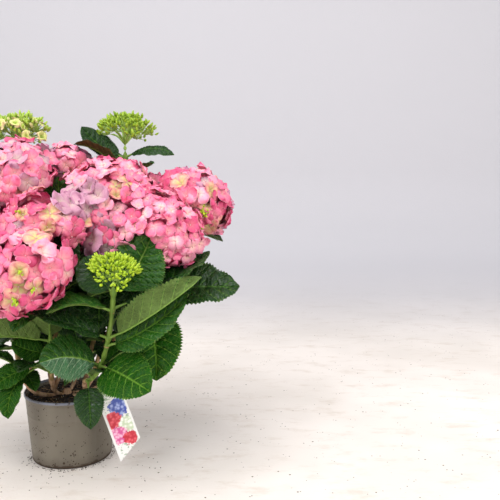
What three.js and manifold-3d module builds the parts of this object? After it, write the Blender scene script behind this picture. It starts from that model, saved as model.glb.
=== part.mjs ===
// A potted hydrangea in bloom, in millimetres with +Z up. The pot's flat underside is centred on
// the origin and -Y is the plant's front. Every shoot is a cane, a mass of leaves and a flower
// head, each in a space of its own.
import * as THREE from "three";
import { mergeVertices } from "three/addons/utils/BufferGeometryUtils.js";
import Module from "manifold-3d";

const wasm = await Module();
wasm.setup();

// Clearance between neighbouring solids, and the shortest edge that joins and cuts may leave.
const GAP = 0.3;
const SMALLEST_EDGE = 0.35;
const DEGREE = Math.PI / 180;
const UP = new THREE.Vector3(0, 0, 1);

// The nursery pot and the soil in it.
const POT = {
  height: 98,
  rimRadius: 65,
  baseRadius: 56.4,
  wall: 1.8,
  floor: 2.4,
  lipHeight: 5,
  lipStep: 1.2,
  footBevel: 1.6,
  segments: 32,
};
const SOIL = { top: 88, mound: 2.5, segments: 24 };

// The plant label: a card with slanted ends on a neck that is stuck in the soil.
const TAG = {
  thick: 1.2,
  corner: [82.5, -62, 14],
  longSide: [-35, 0, 102],
  shortSide: [33, 12, 5],
  length: 108,
  shoulder: 78,
  heel: 20,
  width: 36,
  neckWidth: 9,
  neckFoot: [35, -42, 86],
  neckBend: [37, -45, 108],
};

// Woody stumps that leave the root crown, with the height at which each of them forks.
const CROWN = {
  centre: [-4, -4],
  radius: 8,
  height: 12,
  stumpRadius: 4.8,
  forkRadius: 4.4,
  fork: { out: 9, up: 12 },
};
const STUMPS = {
  left: { foot: [-42, -28], height: 112, lean: [-12, 1] },
  centre: { foot: [-18, -16], height: 108, lean: [-2, -5] },
  front: { foot: [26, -30], height: 112, lean: [5, -6] },
  right: { foot: [46, 6], height: 114, lean: [6, 0] },
  back: { foot: [-2, 34], height: 112, lean: [-1, 6] },
};

// Stems: radii in millimetres, and the share of a shoot that is bare cane.
const STEM = { caneRadius: 4, joinRadius: 3.7, tipRadius: 3, caneShare: 0.32, sides: 5, steps: 3 };

// Flower heads. A head's radius is its half width, rise and under are its height above and below
// its widest ring as shares of that.
const BLOOM = { rise: 0.82, under: 0.5, peduncle: 14, peduncleRadius: 4.2 };
const FLORET = { count: 18, share: 0.3, bulge: -4, depth: 15, lowest: -0.4 };
const BUD = { rise: 0.42, stalk: 0.62, tufts: 11, tuftShare: 0.26, bulge: 4 };

// Leaves: shares of the leaf's own length, but petioleRadius and clearance are millimetres and fold
// is degrees.
const LEAF = {
  thickness: 0.017,
  width: 0.31,
  petiole: 0.13,
  petioleRadius: 1.8,
  stations: [-1, 0.01, 0.17, 0.45, 0.8, 1],
  arch: 0.13,
  fold: 16,
  clearance: 1,
};

// The rule that sets leaves on a shoot: pairs at these distances below the head's foot, each pair
// turned a quarter round the stem from the last.
const RULE = {
  below: [20, 58, 96],
  lengths: [88, 110, 112],
  turn: 90,
  rise: 18,
  riseTries: [0, -22, 22, -44],
  yawTries: [0, 18, -18, 36, -36],
  lengthTries: [1, 0.82, 0.66],
  leafClear: 10,
  headClear: 1.06,
  stemClear: 7,
  potClear: 6,
};

const HUES = {
  pot: "#7d786b",
  soil: "#2b2019",
  tag: "#e9e6e2",
  wood: "#8d6a4b",
  stem: "#7f9a43",
  leaf: "#2c5c26",
  bloom: "#ea8fb0",
  bud: "#a9c43a",
};

// Shoots. fork is the heading in degrees in which a shoot leaves its stump, head is the middle of
// its flower head, facing is where that looks, and start, where it is given, is how far out and up
// the stem first runs, as shares of its span. bare is the share of it that is leafless cane, and
// ruled is false where every leaf is placed by hand, and firstPair is the first of the rule's
// pairs that a shoot has.
const SHOOTS = [
  { name: "front_low", kind: "bloom", stump: "centre", fork: -75, head: [-15, -138, 293], radius: 62,
    facing: [-0.15, -0.7, 0.7], start: [0.12, 0.3], bare: 0.16 },
  { name: "front_high", kind: "bloom", stump: "centre", fork: 20, head: [-1, -84, 342], radius: 60,
    facing: [-0.1, -0.45, 0.9] },
  { name: "top_left", kind: "bloom", stump: "left", fork: 60, head: [-66, -15, 402], radius: 62,
    facing: [-0.3, -0.3, 0.9] },
  { name: "top_back", kind: "bloom", stump: "centre", fork: 130, head: [-12, 56, 414], radius: 44,
    facing: [-0.1, 0.25, 0.95] },
  { name: "centre", kind: "bloom", stump: "front", fork: 100, head: [64, -18, 360], radius: 78,
    facing: [0.05, -0.75, 0.65] },
  { name: "right_front", kind: "bloom", stump: "front", fork: 5, head: [144, -52, 331], radius: 56,
    facing: [0.45, -0.6, 0.65] },
  { name: "right", kind: "bloom", stump: "right", fork: -15, head: [182, 24, 368], radius: 58,
    facing: [0.6, -0.05, 0.8] },
  { name: "back", kind: "bloom", stump: "right", fork: 40, head: [96, 122, 356], radius: 58,
    facing: [0.3, 0.6, 0.75] },
  { name: "back_left", kind: "bloom", stump: "back", fork: 120, head: [-78, 122, 350], radius: 58,
    facing: [-0.35, 0.65, 0.7] },
  { name: "left", kind: "bloom", stump: "left", fork: 170, head: [-152, 8, 334], radius: 57,
    facing: [-0.75, -0.05, 0.65] },
  { name: "left_front", kind: "bloom", stump: "left", fork: -100, head: [-116, -98, 300], radius: 54,
    facing: [-0.55, -0.6, 0.6] },
  { name: "young_front", kind: "bud", stump: "front", fork: -85, head: [95, -140, 294], radius: 39,
    facing: [0.1, -0.34, 0.94], start: [0.34, 0.06], bare: 0.05,
    ruled: false },
  { name: "young_top_right", kind: "bud", stump: "right", fork: 135, head: [73, 76, 475], radius: 54,
    facing: [0, 0.02, 1], firstPair: 1 },
  { name: "young_top_left", kind: "bud", stump: "back", fork: 215, head: [-82, 56, 474], radius: 53,
    facing: [-0.1, 0.05, 1] },
  { name: "young_back", kind: "bud", stump: "back", fork: 30, head: [18, 168, 372], radius: 34,
    facing: [0, 0.5, 0.87] },
];

// Leaves that stand where the plant's front shows them: at is the share of the shoot where the
// leaf sits, via pulls the midrib out, faces is where its upper side looks, width is half the blade's
// width, stalk is the bare stalk's share, and folds are the degrees by which the halves rise.
const SHOWN = [
  { shoot: "young_front", at: 0.95, via: [112, -86, 276], tip: [134, -88, 331], width: 0.42,
    faces: [-0.1, -0.9, 0.3], folds: [8, 8] },
  { shoot: "young_front", at: 0.95, via: [72, -128, 284], tip: [54, -116, 306], width: 0.28,
    faces: [0.2, -0.9, 0.4], folds: [10, 10] },
  { shoot: "young_front", at: 0.82, via: [52, -160, 268], tip: [20, -168, 244], width: 0.3,
    faces: [0, -0.1, 1], folds: [14, 14] },
  { shoot: "young_front", at: 0.84, via: [150, -96, 262], tip: [206, -40, 304], width: 0.19,
    faces: [-0.35, -0.45, 0.8], folds: [14, 14] },
  { shoot: "young_front", at: 0.62, via: [138, -150, 232], tip: [203, -152, 286], width: 0.18,
    faces: [0, 0.95, 0.25], folds: [76, 4] },
  { shoot: "young_front", at: 0.56, via: [130, -128, 206], tip: [186, -134, 262], width: 0.19,
    faces: [-0.2, -0.75, 0.62], folds: [10, 10] },
  { shoot: "young_front", at: 0.62, via: [40, -150, 232], tip: [-10, -150, 243], width: 0.26,
    faces: [0, -0.2, 1], folds: [16, 16] },
  { shoot: "young_front", at: 0.36, via: [92, -132, 168], tip: [139, -150, 143], width: 0.33,
    faces: [0.05, -0.78, 0.62], folds: [6, 6], stalk: 0.2 },
  { shoot: "young_front", at: 0.36, via: [38, -122, 190], tip: [-3, -132, 174], width: 0.4,
    faces: [0, -0.88, 0.48], folds: [-34, 0], stalk: 0.1 },
  { shoot: "right_front", at: 0.5, via: [142, -92, 262], tip: [141, -116, 146], width: 0.2,
    faces: [0, -1, 0.1], folds: [5, 5], stalk: 0.52 },
  { shoot: "right_front", at: 0.6, via: [186, -48, 262], tip: [246, -30, 252], width: 0.26,
    faces: [-0.1, -0.55, 0.83], folds: [8, 8] },
  { shoot: "front_low", at: 0.42, via: [-58, -92, 208], tip: [-92, -112, 197], width: 0.3,
    faces: [0, 0.5, 0.86], folds: [40, 10] },
  { shoot: "front_low", at: 0.24, via: [-58, -80, 148], tip: [-80, -96, 128], width: 0.2,
    faces: [-0.1, -0.8, 0.6], folds: [6, 6], stalk: 0.3 },
  { shoot: "front_low", at: 0.2, via: [-64, -86, 146], tip: [-58, -96, 88], width: 0.15,
    faces: [-0.1, -0.95, 0.2], folds: [8, 8], stalk: 0.42 },
  { shoot: "front_low", at: 0.28, via: [-40, -68, 172], tip: [-56, -76, 186], width: 0.28,
    faces: [0, -0.7, 0.7], folds: [10, 10] },
  { shoot: "top_back", at: 0.37, via: [-46, 18, 226], tip: [-84, 6, 188], width: 0.3,
    faces: [-0.1, -0.7, 0.7], folds: [10, 10] },
  { shoot: "top_back", at: 0.34, via: [18, 30, 226], tip: [42, 20, 176], width: 0.3,
    faces: [0.1, -0.8, 0.6], folds: [10, 10] },
  { shoot: "centre", at: 0.36, via: [62, 4, 226], tip: [92, 4, 170], width: 0.28,
    faces: [0.1, -0.8, 0.6], folds: [10, 10] },
  { shoot: "back", at: 0.34, via: [72, 44, 220], tip: [98, 66, 176], width: 0.3,
    faces: [0, -0.7, 0.7], folds: [10, 10] },
  { shoot: "young_top_left", at: 0.39, via: [-44, 44, 206], tip: [-92, 62, 176], width: 0.3,
    faces: [0, -0.7, 0.7], folds: [10, 10] },
  { shoot: "young_front", at: 0.07, via: [46, -84, 140], tip: [50, -92, 72], width: 0.24,
    faces: [0.15, -1, 0.1], folds: [8, 8], stalk: 0.42 },
  { shoot: "young_top_right", at: 0.97, via: [112, 66, 458], tip: [148, 64, 436], width: 0.2,
    faces: [0, -0.5, 0.9], folds: [-14, -14] },
  { shoot: "young_top_right", at: 0.97, via: [30, 84, 446], tip: [6, 84, 478], width: 0.22,
    faces: [0.3, -0.8, 0.5], folds: [8, 8] },
  { shoot: "young_top_right", at: 0.9, via: [36, 52, 456], tip: [4, 42, 450], width: 0.24,
    faces: [0, 0, 1], folds: [12, 12] },
];

function vector(numbers) {
  return new THREE.Vector3(...numbers);
}

// A generator of numbers from 0 to 1 that always gives the same row for the same seed.
function seeded(seed) {
  let state = seed >>> 0;
  return () => {
    state = (Math.imul(state, 1664525) + 1013904223) >>> 0;
    return state / 2 ** 32;
  };
}

// Solids

function solidOf(geometry) {
  const bare = geometry.clone();
  bare.deleteAttribute("normal");
  if (bare.hasAttribute("uv")) bare.deleteAttribute("uv");
  const merged = mergeVertices(bare, 1e-4);
  const mesh = new wasm.Mesh({
    numProp: 3,
    vertProperties: merged.getAttribute("position").array,
    triVerts: new Uint32Array(merged.index.array),
  });
  return new wasm.Manifold(mesh);
}

function geometryOf(solid) {
  const mesh = solid.getMesh();
  const positions = new Float32Array(mesh.numVert * 3);
  for (let i = 0; i < mesh.numVert; i++) {
    positions.set(mesh.vertProperties.subarray(i * mesh.numProp, i * mesh.numProp + 3), i * 3);
  }
  const geometry = new THREE.BufferGeometry();
  geometry.setAttribute("position", new THREE.BufferAttribute(positions, 3));
  geometry.setIndex(new THREE.BufferAttribute(mesh.triVerts, 1));
  geometry.computeVertexNormals();
  return geometry;
}

function fuse(solids) {
  return solids.reduce((whole, solid) => whole.add(solid));
}

// The largest of the bodies that joins and cuts leave: no loose scrap and no sealed hollow stays,
// nor any edge shorter than smallest.
function oneBody(solid, smallest) {
  const largest = (whole) =>
    whole.decompose().reduce((best, body) => (body.volume() > best.volume() ? body : best));
  return largest(solidOf(geometryOf(largest(solid.simplify(smallest)))));
}

function boxesMeet(a, b) {
  const first = a.boundingBox();
  const second = b.boundingBox();
  return [0, 1, 2].every((k) => first.min[k] <= second.max[k] && second.min[k] <= first.max[k]);
}

function cutClear(solid, others) {
  return others.reduce((left, other) => (boxesMeet(left, other) ? left.subtract(other) : left), solid);
}

// Moves every vertex of a geometry to place(x, y, z).
function reshaped(geometry, place) {
  const position = geometry.getAttribute("position");
  for (let i = 0; i < position.count; i++) {
    const moved = place(position.getX(i), position.getY(i), position.getZ(i));
    position.setXYZ(i, moved.x, moved.y, moved.z);
  }
  return geometry;
}

// Stems and other limbs

// A round, tapering limb along a stretch of a curve, with flat ends.
function limb(curve, from, to, radiusFrom, radiusTo, sides = STEM.sides, steps = STEM.steps) {
  const cylinder = new THREE.CylinderGeometry(1, 1, 1, sides, steps);
  const reach = to - from;
  const bent = reshaped(cylinder, (x, y, z) => {
    const share = y + 0.5;
    const point = curve.getPoint(from + reach * share);
    const along = curve.getTangent(from + reach * share);
    const side = new THREE.Vector3().crossVectors(along, vector([0.31, 0.95, 0.05])).normalize();
    const other = new THREE.Vector3().crossVectors(side, along);
    const radius = THREE.MathUtils.lerp(radiusFrom, radiusTo, share);
    return point.addScaledVector(side, x * radius).addScaledVector(other, z * radius);
  });
  return solidOf(bent);
}

function straightLimb(from, to, radiusFrom, radiusTo, sides) {
  return limb(new THREE.LineCurve3(from, to), 0, 1, radiusFrom, radiusTo, sides, 1);
}

function stumpCurve(stump) {
  const seat = SOIL.top + SOIL.mound + CROWN.stumpRadius;
  const start = vector([...CROWN.centre, seat]);
  const foot = vector([...stump.foot, seat - 1]);
  const tip = vector([stump.foot[0] + stump.lean[0], stump.foot[1] + stump.lean[1], stump.height]);
  return new THREE.QuadraticBezierCurve3(start, foot, tip);
}

function headFoot(shoot) {
  const facing = vector(shoot.facing).normalize();
  const drop =
    shoot.kind === "bloom" ? BLOOM.under * shoot.radius + BLOOM.peduncle : BUD.stalk * shoot.radius;
  return vector(shoot.head).addScaledVector(facing, -drop);
}

// The whole way of a shoot, from the fork of its stump to the foot of its head.
function shootCurve(shoot) {
  const fork = stumpCurve(STUMPS[shoot.stump]).getPoint(1);
  const end = headFoot(shoot);
  const turn = shoot.fork * DEGREE;
  const { out: forkOut, up: forkUp } = CROWN.fork;
  const start = fork.add(vector([forkOut * Math.cos(turn), forkOut * Math.sin(turn), forkUp]));
  const span = start.distanceTo(end);
  const flat = new THREE.Vector3(end.x - start.x, end.y - start.y, 0).normalize();
  const [out, lift] = shoot.start ?? [0.1, 0.36];
  const second = start.clone().addScaledVector(flat, out * span).addScaledVector(UP, lift * span);
  const third = end.clone().addScaledVector(vector(shoot.facing).normalize(), -0.36 * span);
  return new THREE.CubicBezierCurve3(start, second, third, end);
}

function bareShare(shoot) {
  return shoot.bare ?? STEM.caneShare;
}

// The share of a shoot's way that is as long as the clearance between two solids.
function gapShare(shoot) {
  const curve = shootCurve(shoot);
  return GAP / curve.getPoint(0).distanceTo(curve.getPoint(1));
}

// The leafless lower part of a shoot.
function caneSolid(shoot, swell = 0) {
  const thick = STEM.caneRadius + swell;
  const thin = STEM.joinRadius + swell;
  return limb(shootCurve(shoot), gapShare(shoot), bareShare(shoot), thick, thin);
}

// The upper part of a shoot, which bears its leaves.
function stemSolid(shoot, swell = 0) {
  const gap = gapShare(shoot);
  const thick = STEM.joinRadius + swell;
  return limb(shootCurve(shoot), bareShare(shoot) + gap, 1 - gap, thick, STEM.tipRadius + swell);
}

// The woody foot of the plant: stumps that run out from a knot over the soil, turn up and fork.
function rootCrown() {
  const knot = new THREE.CylinderGeometry(CROWN.radius, CROWN.radius * 1.3, CROWN.height, 8);
  knot.rotateX(90 * DEGREE);
  knot.translate(...CROWN.centre, SOIL.top + SOIL.mound + GAP + CROWN.height / 2);
  const limbs = [solidOf(knot)];
  for (const stump of Object.values(STUMPS)) {
    limbs.push(limb(stumpCurve(stump), 0, 1, CROWN.stumpRadius, CROWN.forkRadius, 5, 3));
  }
  for (const shoot of SHOOTS) {
    const root = stumpCurve(STUMPS[shoot.stump]).getPoint(0.93);
    const cane = shootCurve(shoot);
    const tip = cane.getPoint(0);
    const bend = tip.clone().addScaledVector(cane.getTangent(0), -CROWN.fork.up * 0.6);
    const fork = new THREE.QuadraticBezierCurve3(root, bend, tip);
    limbs.push(limb(fork, 0, 1, CROWN.forkRadius * 0.9, STEM.caneRadius, 4, 1));
  }
  return oneBody(fuse(limbs), SMALLEST_EDGE);
}

// Leaves

// Half the blade's width at a share of its length, where the widest place counts as 1.
function bladeProfile(share) {
  return share > 0 ? (Math.pow(share, 0.6) * Math.pow(1 - share, 0.9)) / 0.3644 : 0;
}

// A leaf from its base, the point that pulls its midrib out, and its tip.
function leafOf({ base, via, tip, faces, width, folds, stalk = LEAF.petiole }) {
  const midrib = new THREE.QuadraticBezierCurve3(base, via, tip);
  const length = base.distanceTo(via) * 0.5 + via.distanceTo(tip) * 0.5 + base.distanceTo(tip) * 0.5;
  const across = new THREE.Vector3().crossVectors(faces, tip.clone().sub(via)).normalize();
  return { midrib, length, across, halfWidth: width * length, folds, stalk };
}

// The directions at a place on the midrib: along it, across the blade and out of its upper side.
function leafFrame(leaf, share) {
  const along = leaf.midrib.getTangent(share);
  const normal = new THREE.Vector3().crossVectors(along, leaf.across).normalize();
  const across = new THREE.Vector3().crossVectors(normal, along);
  return { along, across, normal };
}

// A place on the blade: share runs from its base to its tip, side from -1 to 1 across it.
function bladePoint(leaf, share, side, lift = 0, swell = 0) {
  const reach = share > 0 ? leaf.stalk + (1 - leaf.stalk) * share : leaf.stalk * (1 + share);
  const { across, normal } = leafFrame(leaf, reach);
  const fold = leaf.folds[side >= 0 ? 0 : 1] * DEGREE;
  const stalk = share > 0.5 ? 0.5 : LEAF.petioleRadius;
  const half = Math.max(stalk, leaf.halfWidth * bladeProfile(share)) + swell;
  const point = leaf.midrib.getPoint(reach);
  point.addScaledVector(across, side * half * Math.cos(fold));
  return point.addScaledVector(normal, Math.abs(side) * half * Math.sin(fold) + lift);
}

// One leaf with its stalk: a four-sided bar whose side edges spread out into the blade's margins.
function leafSolid(leaf, swell = 0) {
  const last = LEAF.stations.length - 1;
  const bar = new THREE.CylinderGeometry(1, 1, 1, 4, last);
  reshaped(bar, (x, y, z) => {
    const share = LEAF.stations[Math.round((y + 0.5) * last)];
    const thick = share > 0 ? leaf.length * LEAF.thickness : LEAF.petioleRadius * 2;
    return bladePoint(leaf, share, -x, z * (thick / 2 + swell), swell);
  });
  return solidOf(bar);
}

// Places on the blade that stand for it when its clearance is tested.
function leafProbes(leaf) {
  const probes = [];
  for (const share of [0.02, 0.18, 0.35, 0.52, 0.69, 0.86, 1]) {
    for (const side of [-1, -0.5, 0, 0.5, 1]) {
      probes.push(bladePoint(leaf, share, side));
    }
  }
  return probes;
}

// How far out a point lies from a head's middle: 1 is on its outline.
function headDistance(shoot, point, radius = shoot.radius) {
  const facing = vector(shoot.facing).normalize();
  const from = point.clone().sub(vector(shoot.head));
  const height = from.dot(facing);
  const flat = Math.sqrt(Math.max(0, from.lengthSq() - height * height));
  const rise = shoot.kind === "bloom" ? BLOOM.rise : BUD.rise;
  const under = shoot.kind === "bloom" ? BLOOM.under : BUD.stalk * 0.8;
  return Math.hypot(flat / radius, height / (radius * (height > 0 ? rise : under)));
}

function clearOfPot(point) {
  const radial = Math.hypot(point.x, point.y);
  const wall = POT.rimRadius + RULE.potClear;
  return point.z > POT.height + RULE.potClear || (radial > wall && point.z > RULE.potClear);
}

// Whether a leaf keeps clear of the pot, the heads, the stems and the leaves set before it.
function leafFits(leaf, shoot, stems, placed) {
  const probes = leafProbes(leaf);
  if (!probes.every(clearOfPot)) return false;
  for (const other of SHOOTS) {
    if (probes.some((p) => headDistance(other, p) < RULE.headClear)) return false;
  }
  for (const stem of stems) {
    const near = stem.shoot === shoot ? probes.slice(15) : probes;
    if (near.some((p) => stem.points.some((q) => p.distanceTo(q) < RULE.stemClear))) return false;
  }
  for (const other of placed) {
    const mine = other.shoot === shoot ? probes.slice(10) : probes;
    const theirs = other.shoot === shoot ? other.probes.slice(10) : other.probes;
    if (mine.some((p) => theirs.some((q) => p.distanceTo(q) < RULE.leafClear))) return false;
  }
  return true;
}

function ruleLeaf(base, heading, rise, length, roll) {
  const flat = new THREE.Vector3(Math.cos(heading), Math.sin(heading), 0);
  const chord = flat.clone().multiplyScalar(Math.cos(rise)).addScaledVector(UP, Math.sin(rise));
  const tip = base.clone().addScaledVector(chord, length);
  const via = base.clone().addScaledVector(chord, length * 0.5).addScaledVector(UP, length * LEAF.arch * 2);
  const sideways = new THREE.Vector3().crossVectors(UP, flat);
  const faces = UP.clone().addScaledVector(sideways, Math.tan(roll));
  return leafOf({ base, via, tip, faces, width: LEAF.width, folds: [LEAF.fold, LEAF.fold] });
}

// Sets one leaf by trying rises, turns and lengths in a fixed order, and gives null if none fits.
function fittedLeaf(base, heading, length, roll, shoot, stems, placed) {
  for (const scale of RULE.lengthTries) {
    for (const lift of RULE.riseTries) {
      for (const yaw of RULE.yawTries) {
        const rise = (RULE.rise + lift) * DEGREE;
        const leaf = ruleLeaf(base, heading + yaw * DEGREE, rise, length * scale, roll);
        if (leafFits(leaf, shoot, stems, placed)) return leaf;
      }
    }
  }
  return null;
}

function stemSamples(shoot) {
  const curve = shootCurve(shoot);
  const points = [];
  for (let i = 0; i <= 30; i++) {
    points.push(curve.getPoint(i / 30));
  }
  return { shoot, points };
}

// All the leaves of the plant, first the ones that are placed by hand and then those by rule.
function allLeaves() {
  const stems = SHOOTS.map(stemSamples);
  const placed = [];
  const keep = (leaf, shoot) => placed.push({ shoot, leaf, probes: leafProbes(leaf) });
  for (const shown of SHOWN) {
    const shoot = SHOOTS.find((s) => s.name === shown.shoot);
    const base = shootCurve(shoot).getPoint(shown.at);
    keep(leafOf({ ...shown, base, via: vector(shown.via), tip: vector(shown.tip), faces: vector(shown.faces) }), shoot);
  }
  SHOOTS.forEach((shoot, index) => {
    if (shoot.ruled === false) return;
    const random = seeded(101 + 37 * index);
    const curve = shootCurve(shoot);
    const span = curve.getPoint(0).distanceTo(curve.getPoint(1));
    const first = random() * 360;
    RULE.below.slice(shoot.firstPair ?? 0).forEach((below, pair) => {
      const at = 1 - below / span;
      for (const half of [0, 180]) {
        const heading = (first + pair * RULE.turn + half + (random() - 0.5) * 24) * DEGREE;
        const length = RULE.lengths[pair] * (0.86 + 0.28 * random());
        const roll = (random() - 0.5) * 30 * DEGREE;
        if (at < bareShare(shoot) + 0.04) continue;
        const leaf = fittedLeaf(curve.getPoint(at), heading, length, roll, shoot, stems, placed);
        if (leaf) keep(leaf, shoot);
      }
    });
  });
  return placed;
}

// Flower heads

// Turns a solid or point given on a head's own axes, +Z its facing, into the part's frame.
function headMatrix(shoot) {
  const turn = new THREE.Quaternion().setFromUnitVectors(UP, vector(shoot.facing).normalize());
  return new THREE.Matrix4().compose(vector(shoot.head), turn, new THREE.Vector3(1, 1, 1));
}

// An egg shape whose lower half is flatter than its upper half.
function domeGeometry(radius, rise, under, detail) {
  return reshaped(new THREE.IcosahedronGeometry(1, detail), (x, y, z) =>
    new THREE.Vector3(x * radius, y * radius, z * radius * (z > 0 ? rise : under)),
  );
}

// Directions spread evenly from the top of a head down to the height lowest.
function spreadDirections(count, lowest) {
  const golden = Math.PI * (3 - Math.sqrt(5));
  return Array.from({ length: count }, (_, i) => {
    const z = 1 - ((1 - lowest) * (i + 0.5)) / count;
    const flat = Math.sqrt(1 - z * z);
    return new THREE.Vector3(flat * Math.cos(i * golden), flat * Math.sin(i * golden), z);
  });
}

// A small cone that opens outwards from its root to a rim round its seat. Its top bulges out, or
// is cupped where bulge is below 0.
function openCone(root, seat, outward, radius, corners, bulge, spin) {
  const cone = new THREE.ConeGeometry(1, 1, corners, 1);
  const turn = new THREE.Quaternion().setFromUnitVectors(UP, outward);
  reshaped(cone, (x, y, z) => {
    const rim = Math.hypot(x, z) > 0.5;
    if (!rim && y > 0) return root.clone();
    const local = new THREE.Vector3(rim ? x * radius : 0, rim ? z * radius : 0, rim ? 0 : bulge);
    return local.applyAxisAngle(UP, spin).applyQuaternion(turn).add(seat);
  });
  return solidOf(cone);
}

function bloomSolid(shoot, random) {
  const { radius } = shoot;
  const core = domeGeometry(radius * 0.84, BLOOM.rise * 0.97, BLOOM.under * 0.95, 1);
  core.applyMatrix4(headMatrix(shoot));
  const solids = [solidOf(core)];
  const matrix = headMatrix(shoot);
  const turn = new THREE.Quaternion().setFromRotationMatrix(matrix);
  for (const direction of spreadDirections(FLORET.count, FLORET.lowest)) {
    const spin = random() * Math.PI;
    const size = FLORET.share * radius * (0.9 + 0.2 * random());
    const rise = direction.z > 0 ? BLOOM.rise : BLOOM.under;
    const out = radius * (0.93 + 0.05 * random());
    const seat = new THREE.Vector3(direction.x * out, direction.y * out, direction.z * out * rise);
    const normal = new THREE.Vector3(direction.x, direction.y, direction.z / rise).normalize();
    seat.applyMatrix4(matrix);
    normal.applyQuaternion(turn);
    const root = seat.clone().addScaledVector(normal, -FLORET.depth);
    solids.push(openCone(root, seat, normal, size, 4, FLORET.bulge, spin));
  }
  return fuse(solids);
}

function peduncleSolid(shoot, swell = 0) {
  const foot = headFoot(shoot);
  const facing = vector(shoot.facing).normalize();
  const rise = shoot.kind === "bloom" ? BLOOM.peduncle + 10 : BUD.stalk * shoot.radius * 0.4;
  const top = foot.clone().addScaledVector(facing, rise);
  const radius = STEM.tipRadius + swell;
  const wide = shoot.kind === "bloom" ? BLOOM.peduncleRadius * 2 : radius * 1.2;
  return straightLimb(foot, top, radius, wide + swell, STEM.sides);
}

// The cluster of closed buds: tufts on a shallow dome, all rayed from the stalk's top.
function budSolid(shoot, random) {
  const matrix = headMatrix(shoot);
  const facing = vector(shoot.facing).normalize();
  const fork = headFoot(shoot).addScaledVector(facing, BUD.stalk * shoot.radius * 0.25);
  const tuftRadius = BUD.tuftShare * shoot.radius;
  const solids = [];
  for (let i = 0; i < BUD.tufts; i++) {
    const share = Math.sqrt((i + 0.5) / BUD.tufts);
    const angle = i * Math.PI * (3 - Math.sqrt(5));
    const flat = share * (shoot.radius - tuftRadius * 0.7);
    const height = shoot.radius * (BUD.rise * (1 - share * share) - 0.08) + (random() - 0.5) * 3;
    const seat = new THREE.Vector3(flat * Math.cos(angle), flat * Math.sin(angle), height);
    seat.applyMatrix4(matrix);
    const outward = seat.clone().sub(fork).normalize();
    solids.push(openCone(fork, seat, outward, tuftRadius, 5, BUD.bulge, random() * Math.PI));
  }
  return fuse(solids);
}

// Where two heads press on each other, each keeps to its own side of the plane between them.
function keptToCell(solid, shoot) {
  const middle = vector(shoot.head);
  return SHOOTS.reduce((left, other) => {
    if (other === shoot) return left;
    const between = middle.clone().sub(vector(other.head));
    const distance = between.length();
    if (distance > shoot.radius + other.radius) return left;
    const share = (distance ** 2 + shoot.radius ** 2 - other.radius ** 2) / (2 * distance);
    const normal = between.divideScalar(distance);
    const offset = normal.dot(middle) - share + GAP;
    return left.trimByPlane(normal.toArray(), offset);
  }, solid);
}

// A head's outline, swollen a little, which leaves are cut clear of.
function headSpace(shoot) {
  const rise = shoot.kind === "bloom" ? BLOOM.rise : BUD.rise + 0.1;
  const under = shoot.kind === "bloom" ? BLOOM.under + 0.1 : BUD.stalk * 0.9;
  const dome = domeGeometry(shoot.radius * 1.07 + GAP, rise, under, 3);
  dome.applyMatrix4(headMatrix(shoot));
  return solidOf(dome);
}

// Pot, soil and label

function turned(profile, segments) {
  const points = profile.map(([radius, height]) => new THREE.Vector2(radius, height));
  const lathe = new THREE.LatheGeometry(points, segments);
  lathe.rotateX(90 * DEGREE);
  return solidOf(lathe);
}

// The pot wall's outer radius at a height.
function potRadius(height) {
  const share = height / POT.height;
  return THREE.MathUtils.lerp(POT.baseRadius, POT.rimRadius - POT.lipStep, share);
}

function potSolid() {
  const lipFoot = POT.height - POT.lipHeight;
  return turned(
    [
      [0, 0],
      [POT.baseRadius - POT.footBevel, 0],
      [POT.baseRadius, POT.footBevel],
      [potRadius(lipFoot), lipFoot],
      [POT.rimRadius, lipFoot + POT.lipStep],
      [POT.rimRadius, POT.height - 0.8],
      [POT.rimRadius - 0.8, POT.height],
      [POT.rimRadius - POT.lipStep - POT.wall, POT.height],
      [potRadius(POT.floor) - POT.wall, POT.floor],
      [0, POT.floor],
    ],
    POT.segments,
  );
}

function soilSolid() {
  const inner = (height) => potRadius(height) - POT.wall - 2 * GAP;
  return turned(
    [
      [0, POT.floor + GAP],
      [inner(POT.floor) - 0.4, POT.floor + GAP],
      [inner(SOIL.top) - 0.2, SOIL.top - 2],
      [inner(SOIL.top) * 0.8, SOIL.top + SOIL.mound * 0.6],
      [0, SOIL.top + SOIL.mound],
    ],
    SOIL.segments,
  );
}

// The label card's own axes: across it, along it and out of its face.
function tagAxes() {
  const long = vector(TAG.longSide).normalize();
  const normal = new THREE.Vector3().crossVectors(vector(TAG.shortSide), long).normalize();
  const wide = new THREE.Vector3().crossVectors(long, normal);
  return { wide, long, normal };
}

// The neck that carries the card, which runs over the rim into the soil.
function neckSolid(swell = 0) {
  const { wide, long, normal } = tagAxes();
  const top = vector(TAG.corner).addScaledVector(long, TAG.length - 3);
  top.addScaledVector(wide, TAG.neckWidth / 2).addScaledVector(normal, TAG.thick / 2);
  const way = new THREE.QuadraticBezierCurve3(vector(TAG.neckFoot), vector(TAG.neckBend), top);
  const strip = new THREE.BoxGeometry(TAG.neckWidth + 2 * swell, 1, TAG.thick + 2 * swell, 1, 5, 1);
  reshaped(strip, (x, y, z) => {
    const share = y < -0.4 ? -swell / TAG.width : y + 0.5;
    const along = way.getTangent(Math.max(0, share));
    const out = new THREE.Vector3().crossVectors(wide, along).normalize();
    return way.getPoint(share).addScaledVector(wide, x).addScaledVector(out, z);
  });
  return solidOf(strip);
}

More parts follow.
